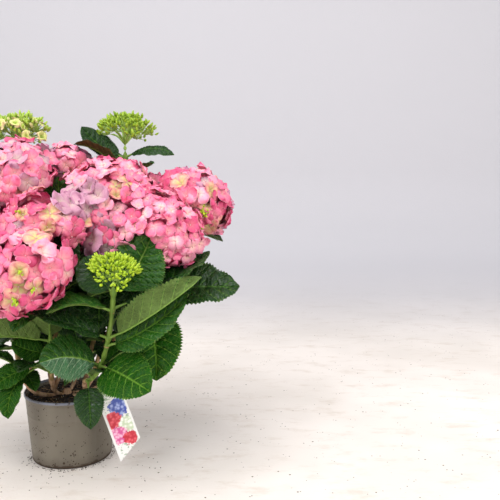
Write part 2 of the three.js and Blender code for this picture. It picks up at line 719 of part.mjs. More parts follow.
function tagSolid() {
  const corner = vector(TAG.corner);
  const { wide, long, normal } = tagAxes();
  const outline = new THREE.Shape();
  outline.moveTo(0, 0);
  outline.lineTo(TAG.width, TAG.heel);
  outline.lineTo(TAG.width, TAG.shoulder);
  outline.lineTo(TAG.neckWidth, TAG.length);
  outline.lineTo(0, TAG.length);
  const card = new THREE.ExtrudeGeometry(outline, { depth: TAG.thick, bevelEnabled: false });
  card.applyMatrix4(new THREE.Matrix4().makeBasis(wide, long, normal).setPosition(corner));
  return solidOf(card).add(neckSolid());
}

// Assembly

function material(hue, roughness) {
  return new THREE.MeshStandardMaterial({ color: hue, roughness, metalness: 0, flatShading: true });
}

function meshOf(name, solid, hue, roughness = 0.7) {
  const mesh = new THREE.Mesh(geometryOf(solid), material(hue, roughness));
  mesh.name = name;
  return mesh;
}

const group = new THREE.Group();
group.name = "potted_hydrangea";

const stemSpaces = new Map();
for (const shoot of SHOOTS) {
  stemSpaces.set(shoot, caneSolid(shoot, 2 * GAP).add(stemSolid(shoot, 2 * GAP)));
}

group.add(meshOf("pot", potSolid(), HUES.pot, 0.6));
group.add(meshOf("soil", cutClear(soilSolid(), [neckSolid(GAP)]), HUES.soil, 0.95));
group.add(meshOf("plant_tag", tagSolid(), HUES.tag, 0.35));
group.add(meshOf("root_crown", rootCrown(), HUES.wood, 0.8));

const heads = new Map();
SHOOTS.forEach((shoot, index) => {
  const random = seeded(7001 + 53 * index);
  const cluster = shoot.kind === "bloom" ? bloomSolid(shoot, random) : budSolid(shoot, random);
  const others = SHOOTS.filter((other) => other !== shoot).map((other) => stemSpaces.get(other));
  const whole = keptToCell(cluster, shoot).add(peduncleSolid(shoot));
  heads.set(shoot, oneBody(cutClear(whole, others), SMALLEST_EDGE));
});

const leaves = allLeaves();
const headSpaces = SHOOTS.flatMap((shoot) => [headSpace(shoot), peduncleSolid(shoot, 2 * GAP)]);
const clearances = [];
for (const shoot of SHOOTS) {
  const own = leaves.filter((entry) => entry.shoot === shoot).map((entry) => entry.leaf);
  const blades = own.map((leaf) => leafSolid(leaf));
  const otherStems = SHOOTS.filter((other) => other !== shoot).map((other) => stemSpaces.get(other));
  const ownBlades = cutClear(fuse(blades), [...headSpaces, ...otherStems, ...clearances]);
  const mass = oneBody(stemSolid(shoot).add(ownBlades), SMALLEST_EDGE);
  clearances.push(...own.map((leaf) => leafSolid(leaf, LEAF.clearance)));
  group.add(meshOf(`cane_${shoot.name}`, caneSolid(shoot), HUES.wood, 0.7));
  group.add(meshOf(`leaves_${shoot.name}`, mass, HUES.leaf, 0.5));
  const hue = shoot.kind === "bloom" ? HUES.bloom : HUES.bud;
  group.add(meshOf(`${shoot.kind}_${shoot.name}`, heads.get(shoot), hue, 0.6));
}

export default group;
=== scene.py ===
"""The looks of a potted hydrangea in bloom, grown by the same rule as its solids and in their frame."""

import logging
import math
from dataclasses import dataclass, field
from enum import Enum
from itertools import product
from typing import Callable, ClassVar, Iterable, Sequence

import bpy
import numpy as np
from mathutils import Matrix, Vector, noise


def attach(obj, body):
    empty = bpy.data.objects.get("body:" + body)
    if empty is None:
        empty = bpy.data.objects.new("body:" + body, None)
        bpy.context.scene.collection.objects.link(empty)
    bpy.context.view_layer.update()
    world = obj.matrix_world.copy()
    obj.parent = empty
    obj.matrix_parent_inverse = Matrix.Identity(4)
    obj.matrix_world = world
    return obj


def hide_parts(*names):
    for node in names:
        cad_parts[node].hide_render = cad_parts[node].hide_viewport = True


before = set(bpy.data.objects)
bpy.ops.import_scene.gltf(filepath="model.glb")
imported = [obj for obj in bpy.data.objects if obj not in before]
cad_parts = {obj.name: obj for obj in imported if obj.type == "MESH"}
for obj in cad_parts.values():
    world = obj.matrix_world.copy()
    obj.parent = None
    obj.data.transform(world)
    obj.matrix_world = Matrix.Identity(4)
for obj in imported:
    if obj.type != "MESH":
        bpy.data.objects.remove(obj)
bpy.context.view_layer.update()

LOG = logging.getLogger("hydrangea")
METRE = 0.001
UV_NAME = "OFBake"
GOLDEN = math.pi * (3 - math.sqrt(5))
TURN = 2 * math.pi
SIDEWAYS = (0.31, 0.95, 0.05)
LEANING = (0.37, 0.61, 0.7)
UPWARDS = (0, 0, 1)
END_PINCH = 0.15
LEAF_PAIRS, LEAF_SLANT = 7.5, 0.34
Array = np.ndarray
Block = tuple[Array, Array, Array]
Material = bpy.types.Material
Numbers = Sequence[float]
Relief = Callable[[Array, Array], Array]
Socket = bpy.types.NodeSocket


class Kind(Enum):
    """What a shoot ends in."""

    BLOOM = "bloom"
    BUD = "bud"


class LeafShade(Enum):
    """The ages of leaves that the plant shows, and leaf green with a painted bluish sheen for one half of a
    folded leaf.
    """

    DARK = "dark"
    MID = "mid"
    BRIGHT = "bright"
    # Leaf green with a painted bluish sheen, for the lower half of the folded front leaf.
    SILVER = "silver"
    BRONZE = "bronze"


class PetalShade(Enum):
    """The tints of the florets."""

    LIGHT = "light"
    MID = "mid"
    DEEP = "deep"
    LILAC = "lilac"
    CREAM = "cream"


@dataclass(frozen=True)
class Shoot:
    """One shoot: the heading in which it leaves its stump, and its head's middle, radius and facing."""

    name: str
    kind: Kind
    stump: str
    fork: float
    head: Numbers
    radius: float
    facing: Numbers
    start: Numbers = (0.1, 0.36)
    bare: float = 0.32
    ruled: bool = True
    first_pair: int = 0

    def axis(self) -> Array:
        """The way in which the head faces."""
        return unit(vec(self.facing))


@dataclass(frozen=True)
class Shown:
    """A leaf that stands where the plant's front shows it."""

    shoot: str
    at: float
    via: Numbers
    tip: Numbers
    width: float
    faces: Numbers
    folds: Numbers
    shade: LeafShade
    stalk: float = 0.13
    lower: LeafShade | None = None
    fuller: float = 1.0
    puff: float = 1.0


@dataclass(frozen=True)
class HeadLook:
    """The length of a head's sepals and the shares of its tints, in the order of PetalShade."""

    sepal: float
    weights: Numbers


@dataclass(frozen=True)
class Spot:
    """A part of the plant where florets have another tint: its middle, its reach and the tint."""

    middle: Numbers
    reach: float
    shade: PetalShade
    limes: int = 0
    sepal: float = 0.0


@dataclass(frozen=True)
class Hollow:
    """A place between heads where no floret stands: a line and the distance kept from it."""

    start: Numbers
    end: Numbers
    reach: float

    def distance(self, places: Array) -> Array:
        """How far places lie from the line."""
        way, away = vec(self.end) - vec(self.start), places - vec(self.start)
        return np.linalg.norm(away - np.clip(away @ way / (way @ way), -0.3, 1.3)[..., None] * way, axis=-1)


BLOOM, BUD = Kind.BLOOM, Kind.BUD
DARK, MID, BRIGHT = LeafShade.DARK, LeafShade.MID, LeafShade.BRIGHT
SILVER, BRONZE = LeafShade.SILVER, LeafShade.BRONZE
LILAC, CREAM = PetalShade.LILAC, PetalShade.CREAM

SHOOTS = (
    Shoot("front_low", BLOOM, "centre", -75, (-15, -138, 293), 62, (-0.15, -0.7, 0.7), (0.12, 0.3), 0.16),
    Shoot("front_high", BLOOM, "centre", 20, (-1, -84, 342), 60, (-0.1, -0.45, 0.9)),
    Shoot("top_left", BLOOM, "left", 60, (-66, -15, 402), 62, (-0.3, -0.3, 0.9)),
    Shoot("top_back", BLOOM, "centre", 130, (-12, 56, 414), 44, (-0.1, 0.25, 0.95)),
    Shoot("centre", BLOOM, "front", 100, (64, -18, 360), 78, (0.05, -0.75, 0.65)),
    Shoot("right_front", BLOOM, "front", 5, (144, -52, 331), 56, (0.45, -0.6, 0.65)),
    Shoot("right", BLOOM, "right", -15, (182, 24, 368), 58, (0.6, -0.05, 0.8)),
    Shoot("back", BLOOM, "right", 40, (96, 122, 356), 58, (0.3, 0.6, 0.75)),
    Shoot("back_left", BLOOM, "back", 120, (-78, 122, 350), 58, (-0.35, 0.65, 0.7)),
    Shoot("left", BLOOM, "left", 170, (-152, 8, 334), 57, (-0.75, -0.05, 0.65)),
    Shoot("left_front", BLOOM, "left", -100, (-116, -98, 300), 54, (-0.55, -0.6, 0.6)),
    Shoot("young_front", BUD, "front", -85, (95, -140, 294), 39, (0.1, -0.34, 0.94), (0.34, 0.06), 0.05,
          False),
    Shoot("young_top_right", BUD, "right", 135, (73, 76, 475), 54, (0, 0.02, 1), first_pair=1),
    Shoot("young_top_left", BUD, "back", 215, (-82, 56, 474), 53, (-0.1, 0.05, 1)),
    Shoot("young_back", BUD, "back", 30, (18, 168, 372), 34, (0, 0.5, 0.87)),
)

SHOWN = (
    Shown("young_front", 0.95, (112, -86, 276), (134, -88, 331), 0.42, (-0.1, -0.9, 0.3), (8, 8), MID,
          puff=2.4),
    Shown("young_front", 0.95, (72, -128, 284), (54, -116, 306), 0.28, (0.2, -0.9, 0.4), (10, 10), DARK,
          fuller=1.6),
    Shown("young_front", 0.82, (52, -160, 268), (20, -168, 244), 0.3, (0, -0.1, 1), (14, 14), MID),
    Shown("young_front", 0.84, (150, -96, 262), (206, -40, 304), 0.19, (-0.35, -0.45, 0.8), (14, 14), DARK),
    Shown("young_front", 0.62, (138, -150, 232), (203, -152, 286), 0.18, (0, 0.95, 0.25), (76, 4), MID),
    Shown("young_front", 0.56, (130, -128, 206), (186, -134, 262), 0.19, (-0.2, -0.75, 0.62), (10, 10), MID),
    Shown("young_front", 0.62, (40, -150, 232), (-10, -150, 243), 0.26, (0, -0.2, 1), (16, 16), DARK),
    Shown("young_front", 0.36, (92, -132, 168), (139, -150, 143), 0.33, (0.05, -0.78, 0.62), (6, 6),
          BRIGHT, 0.2),
    # The lower half of this folded leaf is leaf green with a painted bluish sheen.
    Shown("young_front", 0.36, (38, -122, 190), (-3, -132, 174), 0.4, (0, -0.88, 0.48), (-34, 0), MID, 0.1,
          SILVER, 0.86, 1.4),
    Shown("right_front", 0.5, (142, -92, 262), (141, -116, 146), 0.2, (0, -1, 0.1), (5, 5), BRIGHT, 0.52),
    Shown("right_front", 0.6, (186, -48, 262), (246, -30, 252), 0.26, (-0.1, -0.55, 0.83), (8, 8), DARK),
    Shown("front_low", 0.42, (-58, -92, 208), (-92, -112, 197), 0.3, (0, 0.5, 0.86), (40, 10), MID),
    Shown("front_low", 0.24, (-58, -80, 148), (-80, -96, 128), 0.2, (-0.1, -0.8, 0.6), (6, 6), BRIGHT, 0.3),
    Shown("front_low", 0.2, (-64, -86, 146), (-58, -96, 88), 0.15, (-0.1, -0.95, 0.2), (8, 8), BRIGHT, 0.42),
    Shown("front_low", 0.28, (-40, -68, 172), (-56, -76, 186), 0.28, (0, -0.7, 0.7), (10, 10), BRIGHT),
    Shown("top_back", 0.37, (-46, 18, 226), (-84, 6, 188), 0.3, (-0.1, -0.7, 0.7), (10, 10), DARK),
    Shown("top_back", 0.34, (18, 30, 226), (42, 20, 176), 0.3, (0.1, -0.8, 0.6), (10, 10), DARK),
    Shown("centre", 0.36, (62, 4, 226), (92, 4, 170), 0.28, (0.1, -0.8, 0.6), (10, 10), DARK),
    Shown("back", 0.34, (72, 44, 220), (98, 66, 176), 0.3, (0, -0.7, 0.7), (10, 10), DARK),
    Shown("young_top_left", 0.39, (-44, 44, 206), (-92, 62, 176), 0.3, (0, -0.7, 0.7), (10, 10), DARK),
    Shown("young_front", 0.07, (46, -84, 140), (50, -92, 72), 0.24, (0.15, -1, 0.1), (8, 8), DARK, 0.42),
    Shown("young_top_right", 0.97, (112, 66, 458), (148, 64, 436), 0.2, (0, -0.5, 0.9), (-14, -14), DARK),
    Shown("young_top_right", 0.97, (30, 84, 446), (6, 84, 478), 0.22, (0.3, -0.8, 0.5), (8, 8), DARK),
    Shown("young_top_right", 0.9, (36, 52, 456), (4, 42, 450), 0.24, (0, 0, 1), (12, 12), BRONZE,
          fuller=1.4),
)

# Leaves that fill the dark places between heads and under them.
BETWEEN = (
    Shown("front_high", 0.93, (0, -34, 350), (-6, -6, 404), 0.22, (0.1, -1, 0.2), (6, 6), MID),
    Shown("front_low", 0.97, (12, -98, 292), (36, -98, 340), 0.3, (0.1, -1, 0.2), (6, 6), DARK),
    Shown("centre", 0.86, (52, -40, 262), (58, -66, 200), 0.3, (0, -0.9, 0.4), (8, 8), DARK),
    Shown("front_high", 0.5, (10, -40, 226), (34, -62, 166), 0.28, (0, -0.95, 0.3), (8, 8), DARK),
    Shown("top_left", 0.42, (-60, -40, 232), (-92, -62, 172), 0.26, (-0.2, -0.9, 0.3), (8, 8), DARK),
    Shown("back_left", 0.3, (-40, 62, 196), (-70, 44, 130), 0.3, (0, -0.9, 0.4), (8, 8), DARK),
    Shown("back", 0.24, (70, 40, 176), (84, 30, 112), 0.3, (0.1, -0.9, 0.4), (8, 8), DARK),
    Shown("young_back", 0.3, (20, 70, 200), (14, 54, 120), 0.3, (0, -0.9, 0.3), (8, 8), DARK),
)

# Florets that bridge the dip between two heads that have grown into one, or hang low on a head.
BRIDGES = (
    Shoot("centre", BLOOM, "front", 0, (116, -40, 342), 61, (0.2, -0.7, 0.65)),
    Shoot("centre", BLOOM, "front", 0, (74, -58, 328), 40, (0, -0.9, 0.45)),
)

# The front_high and right heads give the deep tint a large share: partly their own deeper colour, partly
# painted shade for the shadow on them.
HEAD_LOOKS = {
    "front_low": HeadLook(18.0, (0.2, 0.4, 0.3, 0, 0.1)),
    "front_high": HeadLook(16.0, (0.03, 0.27, 0.5, 0.04, 0.16)),
    "top_left": HeadLook(17.5, (0.24, 0.36, 0.17, 0.23, 0)),
    "top_back": HeadLook(18.0, (0.38, 0.34, 0.06, 0.2, 0.02)),
    "centre": HeadLook(14.6, (0.36, 0.5, 0.12, 0.02, 0.01)),
    "right_front": HeadLook(14.0, (0.3, 0.55, 0.15, 0, 0.01)),
    "right": HeadLook(17.0, (0.16, 0.36, 0.32, 0.08, 0.08)),
}
OTHER_LOOK = HeadLook(16.5, (0.36, 0.44, 0.12, 0.04, 0.05))

SPOTS = (
    Spot((0, -192, 298), 17, CREAM, 5), Spot((13, -188, 277), 16, CREAM, 4),
    Spot((-9, -190, 264), 15, CREAM, 9), Spot((-20, -130, 362), 10, CREAM, 3),
    Spot((18, -135, 340), 12, CREAM), Spot((14, -122, 364), 8, CREAM),
    Spot((85, -64, 386), 12, CREAM), Spot((98, -53, 398), 7, CREAM),
    Spot((30, -84, 372), 36, LILAC, 0, 23), Spot((196, -24, 358), 9, CREAM, 26),
    Spot((194, -18, 335), 14, CREAM, 5), Spot((163, -24, 400), 10, CREAM),
    Spot((2, 20, 404), 14, CREAM, 8), Spot((-30, 26, 420), 22, LILAC, 0, 20),
    Spot((68, -94, 311), 18, LILAC, 0, 20),
)

HOLLOWS = (
    Hollow((8, -70, 383), (0, 10, 377), 23),
    Hollow((30, -150, 322), (24, -92, 320), 10),
    Hollow((130, -130, 307), (124, -92, 307), 23),
    Hollow((138, -128, 296), (132, -92, 296), 16),
)


BLOOMS = [shoot for shoot in SHOOTS if shoot.kind is BLOOM]


def node_names(prefix: str, kind: Kind | None = None) -> list[str]:
    """The names of the CAD nodes of every shoot, or of the shoots of one kind."""
    return [f"{prefix}_{shoot.name}" for shoot in SHOOTS if kind in (None, shoot.kind)]


def vec(numbers: Iterable[float]) -> Array:
    """The numbers as a row of floats."""
    return np.array(list(numbers), float)


def unit(rows: Array) -> Array:
    """Each row scaled to length 1."""
    return rows / np.maximum(np.linalg.norm(rows, axis=-1, keepdims=True), 1e-12)


def shares(rows: int, columns: int) -> list[Array]:
    """The shares along and across a grid of rows by columns of cells."""
    return np.meshgrid(np.linspace(0, 1, rows + 1), np.linspace(0, 1, columns + 1), indexing="ij")


class Dice:
    """A generator of numbers from 0 to 1, the same as the source's own."""

    def __init__(self, seed: int) -> None:
        """Starts the row of numbers at seed."""
        self.state = seed & 0xFFFFFFFF

    def roll(self) -> float:
        """The next number."""
        self.state = (self.state * 1664525 + 1013904223) & 0xFFFFFFFF
        return self.state / 2**32


class Curve:
    """A Bezier curve of any degree."""

    def __init__(self, *points: Array) -> None:
        """Takes the curve's control points in order."""
        self.points = points

    def at(self, share: Array | float) -> Array:
        """The places at these shares of the curve.

        Args:
            share: one share or many.

        Returns:
            One place for each.
        """
        t = np.asarray(share, float)[..., None]
        row = list(self.points)
        while len(row) > 1:
            row = [a * (1 - t) + b * t for a, b in zip(row, row[1:])]
        return row[0]

    def tangent(self, share: Array | float) -> Array:
        """The directions at these shares of the curve."""
        t = np.asarray(share, float)
        return unit(self.at(np.minimum(t + 1e-4, 1)) - self.at(np.maximum(t - 1e-4, 0)))


@dataclass(frozen=True)
class PotSizes:
    """The nursery pot, in millimetres."""

    height: float = 98
    rim: float = 65
    base: float = 56.4
    wall: float = 1.8
    floor: float = 2.4
    lip: float = 5
    lip_step: float = 1.2

    def radius(self, height: float) -> float:
        """The wall's outer radius at a height."""
        return self.base + (self.rim - self.lip_step - self.base) * height / self.height


@dataclass(frozen=True)
class StumpSizes:
    """Where a woody stump stands, how high it reaches and how it leans."""

    foot: Numbers
    height: float
    lean: Numbers


POT = PotSizes()
SOIL_TOP, SOIL_MOUND = 88.0, 2.5
STUMPS = {
    "left": StumpSizes((-42, -28), 112, (-12, 1)),
    "centre": StumpSizes((-18, -16), 108, (-2, -5)),
    "front": StumpSizes((26, -30), 112, (5, -6)),
    "right": StumpSizes((46, 6), 114, (6, 0)),
    "back": StumpSizes((-2, 34), 112, (-1, 6)),
}


@dataclass
class Leaf:
    """One leaf on its midrib. A share runs from 0 at the blade's base to 1 at its tip."""

    probe_shares: ClassVar[Numbers] = (0.02, 0.18, 0.35, 0.52, 0.69, 0.86, 1)
    probe_sides: ClassVar[Numbers] = (-1, -0.5, 0, 0.5, 1)
    beyond_stem: ClassVar[int] = 15
    beyond_joint: ClassVar[int] = 10
    middle_probe: ClassVar[int] = 17

    shoot: Shoot
    midrib: Curve
    length: float
    across: Array
    half_width: float
    folds: Numbers
    stalk: float
    look: Shown | None

    @staticmethod
    def profile(share: Array) -> Array:
        """Half the solid blade's width, where the widest place counts as 1."""
        inside = np.clip(share, 0, 1)
        return inside**0.6 * (1 - inside) ** 0.9 / 0.3644

    @staticmethod
    def outline(share: Array) -> Array:
        """Half the width of the blade as it is drawn, rounder towards its short tip."""
        s = np.clip(share, 0, 1)
        return s**0.55 * (1 - s) ** 0.68 / 0.4315 * (1 - 0.35 * np.exp(-(((1 - s) / 0.05) ** 2)))

    def place(self, share: Array, side: Array, lift: Array | float = 0.0, half: Array | None = None) -> Array:
        """Places on the blade.

        Args:
            share: how far along the blade.
            side: from -1 to 1 across it.
            lift: how far out of its upper side, in millimetres.
            half: half the width there, or None for the width of the solid.

        Returns:
            One row of coordinates for each place.
        """
        reach = np.where(share > 0, self.stalk + (1 - self.stalk) * share, self.stalk * (1 + share))
        along = self.midrib.tangent(reach)
        normal = unit(np.cross(along, self.across))
        across = np.cross(normal, along)
        fold = np.radians(np.where(side >= 0, self.folds[0], self.folds[1]))
        if half is None:
            half = np.maximum(np.where(share > 0.5, 0.5, 1.8), self.half_width * self.profile(share))
        flat = side * half * np.cos(fold)
        rise = np.abs(side) * half * np.sin(fold) + lift
        return self.midrib.at(reach) + across * flat[..., None] + normal * rise[..., None]

    def probes(self) -> Array:
        """Places that stand for the blade when its clearance is tested."""
        share, side = np.meshgrid(self.probe_shares, self.probe_sides, indexing="ij")
        return self.place(share.ravel(), side.ravel())


@dataclass(frozen=True)
class LeafRule:
    """How one generation of leaves is set in pairs along a shoot, by the rolls of a seeded generator.

    Lengths are in millimetres, jitter and roll in degrees. A leaf's length runs from shortest by up to more
    of the one in lengths, and clear is the gap that it keeps.
    """

    seed: int
    seed_step: int
    below: Numbers
    lengths: Numbers
    jitter: float
    shortest: float
    more: float
    roll: float
    clear: float
    inner: bool


@dataclass
class Growth:
    """The source's rule for stems and leaves, in millimetres."""

    outer: LeafRule = LeafRule(101, 37, (20, 58, 96), (88, 110, 112), 24, 0.86, 0.28, 30, 10, False)
    deeper: LeafRule = LeafRule(509, 41, (120, 150, 182), (78, 70, 60), 40, 0.8, 0.4, 0, 5, True)
    turn: float = 90
    rise: float = 18
    rise_tries: Numbers = (0, -22, 22, -44)
    yaw_tries: Numbers = (0, 18, -18, 36, -36)
    length_tries: Numbers = (1, 0.82, 0.66)
    far: float = 170
    lowest: float = 128
    past_bare: float = 0.04
    pull: float = 0.36
    stem_points: int = 31
    head_clear: float = 1.06
    stem_clear: float = 7
    pot_clear: float = 6
    leaf_width: float = 0.31
    stalk: float = 0.13
    arch: float = 0.13
    fold: float = 16
    cane_radius: float = 4
    join_radius: float = 3.7
    tip_radius: float = 3
    stump_radius: float = 4.8
    fork_radius: float = 4.4
    fork_out: float = 9
    fork_up: float = 12
    crown: Numbers = (-4, -4)
    bloom_rise: float = 0.82
    bloom_under: float = 0.5
    peduncle: float = 14
    bud_rise: float = 0.42
    bud_stalk: float = 0.62
    bud_under: float = 0.8
    curves: dict[str, Curve] = field(default_factory=dict)
    stems: dict[str, Array] = field(default_factory=dict)
    placed: list[tuple[Leaf, Array]] = field(default_factory=list)
    leaves: list[Leaf] = field(default_factory=list)
    inner: list[Leaf] = field(default_factory=list)

    def stump(self, name: str) -> Curve:
        """The way of a stump, out from the crown over the soil and up.

        Args:
            name: a key of STUMPS.

        Returns:
            The curve up to its top.
        """
        sizes = STUMPS[name]
        seat = SOIL_TOP + SOIL_MOUND + self.stump_radius
        tip = (sizes.foot[0] + sizes.lean[0], sizes.foot[1] + sizes.lean[1], sizes.height)
        return Curve(vec((*self.crown, seat)), vec((*sizes.foot, seat - 1)), vec(tip))

    def head_foot(self, shoot: Shoot) -> Array:
        """Where a shoot's stem ends under its head.

        Args:
            shoot: the shoot.

        Returns:
            The place.
        """
        bloom = shoot.kind is BLOOM
        drop = self.bloom_under * shoot.radius + self.peduncle if bloom else self.bud_stalk * shoot.radius
        return vec(shoot.head) - shoot.axis() * drop

    def way(self, shoot: Shoot) -> Curve:
        """The whole way of a shoot, from the fork of its stump to the foot of its head.

        Args:
            shoot: the shoot.

        Returns:
            The curve, from 0 at the fork to 1 under the head.
        """
        turn = math.radians(shoot.fork)
        step = vec((self.fork_out * math.cos(turn), self.fork_out * math.sin(turn), self.fork_up))
        start = self.stump(shoot.stump).at(1.0) + step
        end = self.head_foot(shoot)
        span = float(np.linalg.norm(end - start))
        flat = unit((end - start) * vec((1, 1, 0)))
        second = start + flat * shoot.start[0] * span + vec((0, 0, shoot.start[1] * span))
        return Curve(start, second, end - shoot.axis() * self.pull * span, end)

    def leaf(self, shoot: Shoot, base: Array, via: Array, tip: Array, faces: Array, width: float,
             folds: Numbers, look: Shown | None = None) -> Leaf:
        """A leaf from its base, the point that pulls its midrib out, and its tip.

        Args:
            shoot: the shoot.
            base: where its stalk starts.
            via: what pulls its midrib out.
            tip: its tip.
            faces: the way its upper side faces.
            width: half its width over its length.
            folds: the rise of each half, in degrees.
            look: its row of the tables, or None.

        Returns:
            The leaf.
        """
        gaps = [np.linalg.norm(a - b) for a, b in ((base, via), (via, tip), (base, tip))]
        length = float(sum(gaps)) / 2
        across = unit(np.cross(faces, tip - via))
        stalk = look.stalk if look else self.stalk
        return Leaf(shoot, Curve(base, via, tip), length, across, width * length, folds, stalk, look)

    def shown(self, look: Shown) -> Leaf:
        """A leaf that is given in the tables.

        Args:
            look: its row of the tables.

        Returns:
            The leaf.
        """
        shoot = next(shoot for shoot in SHOOTS if shoot.name == look.shoot)
        base = self.curves[look.shoot].at(look.at)
        points = (vec(look.via), vec(look.tip), vec(look.faces))
        return self.leaf(shoot, base, *points, look.width, look.folds, look)

    def head_distance(self, shoot: Shoot, points: Array) -> Array:
        """How far out points lie from a head's middle: 1 is on its outline.

        Args:
            shoot: the shoot.
            points: the places.

        Returns:
            A share of the way out for each.
        """
        bloom = shoot.kind is BLOOM
        facing = shoot.axis()
        away = points - vec(shoot.head)
        height = away @ facing
        flat = np.sqrt(np.maximum(0, (away**2).sum(-1) - height**2))
        rise = self.bloom_rise if bloom else self.bud_rise
        under = self.bloom_under if bloom else self.bud_stalk * self.bud_under
        return np.hypot(flat / shoot.radius, height / (shoot.radius * np.where(height > 0, rise, under)))

    def fits(self, leaf: Leaf, clear: float) -> bool:
        """Whether a leaf keeps clear of the pot, the heads, the stems and the leaves set before it.

        Args:
            leaf: the leaf.
            clear: the least gap to another leaf.

        Returns:
            True where it does.
        """
        probes = leaf.probes()
        radial, height = np.hypot(probes[:, 0], probes[:, 1]), probes[:, 2]
        over = height > POT.height + self.pot_clear
        if not np.all(over | ((radial > POT.rim + self.pot_clear) & (height > self.pot_clear))):
            return False
        if any(self.head_distance(other, probes).min() < self.head_clear for other in SHOOTS):
            return False
        for name, points in self.stems.items():
            near = probes[leaf.beyond_stem:] if name == leaf.shoot.name else probes
            if np.linalg.norm(near[:, None] - points, axis=-1).min() < self.stem_clear:
                return False
        for other, theirs in self.placed:
            if np.linalg.norm(theirs[leaf.middle_probe] - probes[leaf.middle_probe]) > self.far:
                continue
            first = leaf.beyond_joint if other.shoot is leaf.shoot else 0
            mine, against = probes[first:], theirs[first:]
            if np.linalg.norm(mine[:, None] - against, axis=-1).min() < clear:
                return False
        return True

    def fitted(self, shoot: Shoot, base: Array, heading: float, length: float, roll: float,
               clear: float) -> Leaf | None:
        """The first leaf that fits, trying lengths, rises and turns in a fixed order.

        Args:
            shoot: the shoot.
            base: where its stalk starts.
            heading: the way in which it points.
            length: its length.
            roll: how far it leans over.
            clear: the least gap to another leaf.

        Returns:
            The leaf, or None.
        """
        up = vec(UPWARDS)
        for scale, lift, yaw in product(self.length_tries, self.rise_tries, self.yaw_tries):
            rise, turned, reach = math.radians(self.rise + lift), heading + math.radians(yaw), length * scale
            flat = vec((math.cos(turned), math.sin(turned), 0))
            chord = flat * math.cos(rise) + up * math.sin(rise)
            via = base + chord * reach * 0.5 + up * reach * self.arch * 2
            faces = up + np.cross(up, flat) * math.tan(roll)
            folds = (self.fold, self.fold)
            leaf = self.leaf(shoot, base, via, base + chord * reach, faces, self.leaf_width, folds)
            if self.fits(leaf, clear):
                return leaf
        return None

    def keep(self, leaf: Leaf | None) -> None:
        """Adds a leaf to those that stand, if there is one."""
        self.placed += [(leaf, leaf.probes())] if leaf else []

    def row(self, rule: LeafRule, index: int) -> None:
        """Sets the leaves of one generation along one shoot.

        Args:
            rule: the generation's rule.
            index: the shoot's number.
        """
        shoot = SHOOTS[index]
        dice = Dice(rule.seed + rule.seed_step * index)
        curve = self.curves[shoot.name]
        span = float(np.linalg.norm(curve.at(0.0) - curve.at(1.0)))
        first = dice.roll() * 360
        for pair, below in enumerate(rule.below[0 if rule.inner else shoot.first_pair:]):
            at = 1 - below / span
            base = curve.at(max(0.0, at))
            bare = base[2] < self.lowest if rule.inner else at < shoot.bare + self.past_bare
            for half in (0, 180):
                heading = math.radians(first + pair * self.turn + half + (dice.roll() - 0.5) * rule.jitter)
                length = rule.lengths[pair] * (rule.shortest + rule.more * dice.roll())
                roll = math.radians((dice.roll() - 0.5) * rule.roll) if rule.roll else 0.0
                if not bare:
                    self.keep(self.fitted(shoot, base, heading, length, roll, rule.clear))

    def grow(self) -> "Growth":
        """Sets every stem and leaf: those that are shown, those by rule, and smaller ones further in.

        Returns:
            Itself.
        """
        self.curves = {shoot.name: self.way(shoot) for shoot in SHOOTS}
        share = np.linspace(0, 1, self.stem_points)
        self.stems = {name: curve.at(share) for name, curve in self.curves.items()}
        for rule, looks in ((self.outer, SHOWN), (self.deeper, BETWEEN)):
            for look in looks:
                self.keep(self.shown(look))
            for index, shoot in enumerate(SHOOTS):
                if rule.inner or shoot.ruled:
                    self.row(rule, index)
            if not rule.inner:
                self.leaves = [leaf for leaf, _ in self.placed]
        self.inner = [leaf for leaf, _ in self.placed[len(self.leaves):]]
        return self


class Bag:
    """Gathers faces for pieces of one material, with the place of each corner in the pattern."""

    most: ClassVar[int] = 180_000

    def __init__(self) -> None:
        """Starts empty."""
        self.blocks: list[Block] = []

    def add(self, points: Array, faces: Array, pattern: Array) -> None:
        """Adds faces, rows of numbers of points, with a place in the pattern for each point."""
        self.blocks.append((points.reshape(-1, 3), faces, pattern.reshape(-1, 2)))

    def parcels(self) -> list[list[Block]]:
        """The blocks in lots that stay under the most triangles of a piece.

        Returns:
            Each lot as a list of blocks.
        """
        lots: list[list[Block]] = [[]]
        total = 0
        for block in self.blocks:
            count = len(block[1]) * (block[1].shape[1] - 2)
            if lots[-1] and total + count > self.most:
                lots.append([])
                total = 0
            lots[-1].append(block)
            total += count
        return lots

    def pieces(self, name: str, material: Material, slot: str, nodes: Sequence[str]) -> None:
        """Makes the objects, which stand for these CAD nodes.

        Args:
            name: their name.
            material: their material.
            slot: not used.
            nodes: the names of the nodes.
        """
        lots = self.parcels()
        for number, blocks in enumerate(lots, 1):
            label = name if len(lots) == 1 else f"{name}_{number}"
            made = mesh_object(label, blocks, material)
            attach(made, "root")
            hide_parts(*nodes)
            triangles = sum(len(faces) * (faces.shape[1] - 2) for _, faces, _ in blocks)
            LOG.info("%s: %d triangles", label, triangles)


def mesh_object(name: str, blocks: Sequence[Block], material: Material) -> bpy.types.Object:
    """Makes one object of blocks of points, faces and pattern.

    Args:
        name: its name.
        blocks: points, faces and pattern of each.
        material: its material.

    Returns:
        The object, linked to the scene.
    """
    starts = np.cumsum([0] + [len(points) for points, _, _ in blocks])
    faces = [row for (_, block, _), start in zip(blocks, starts) for row in (block + start).tolist()]
    points = np.concatenate([points for points, _, _ in blocks]) * METRE
    corners = np.concatenate([pattern[block.reshape(-1)] for _, block, pattern in blocks])
    mesh = bpy.data.meshes.new(name)
    mesh.from_pydata(points.tolist(), [], faces)
    mesh.uv_layers.new(name=UV_NAME).data.foreach_set("uv", corners.astype(np.float32).reshape(-1))
    mesh.polygons.foreach_set("use_smooth", np.ones(len(faces), bool))
    mesh.materials.append(material)
    made = bpy.data.objects.new(name, mesh)
    bpy.context.scene.collection.objects.link(made)
    return made


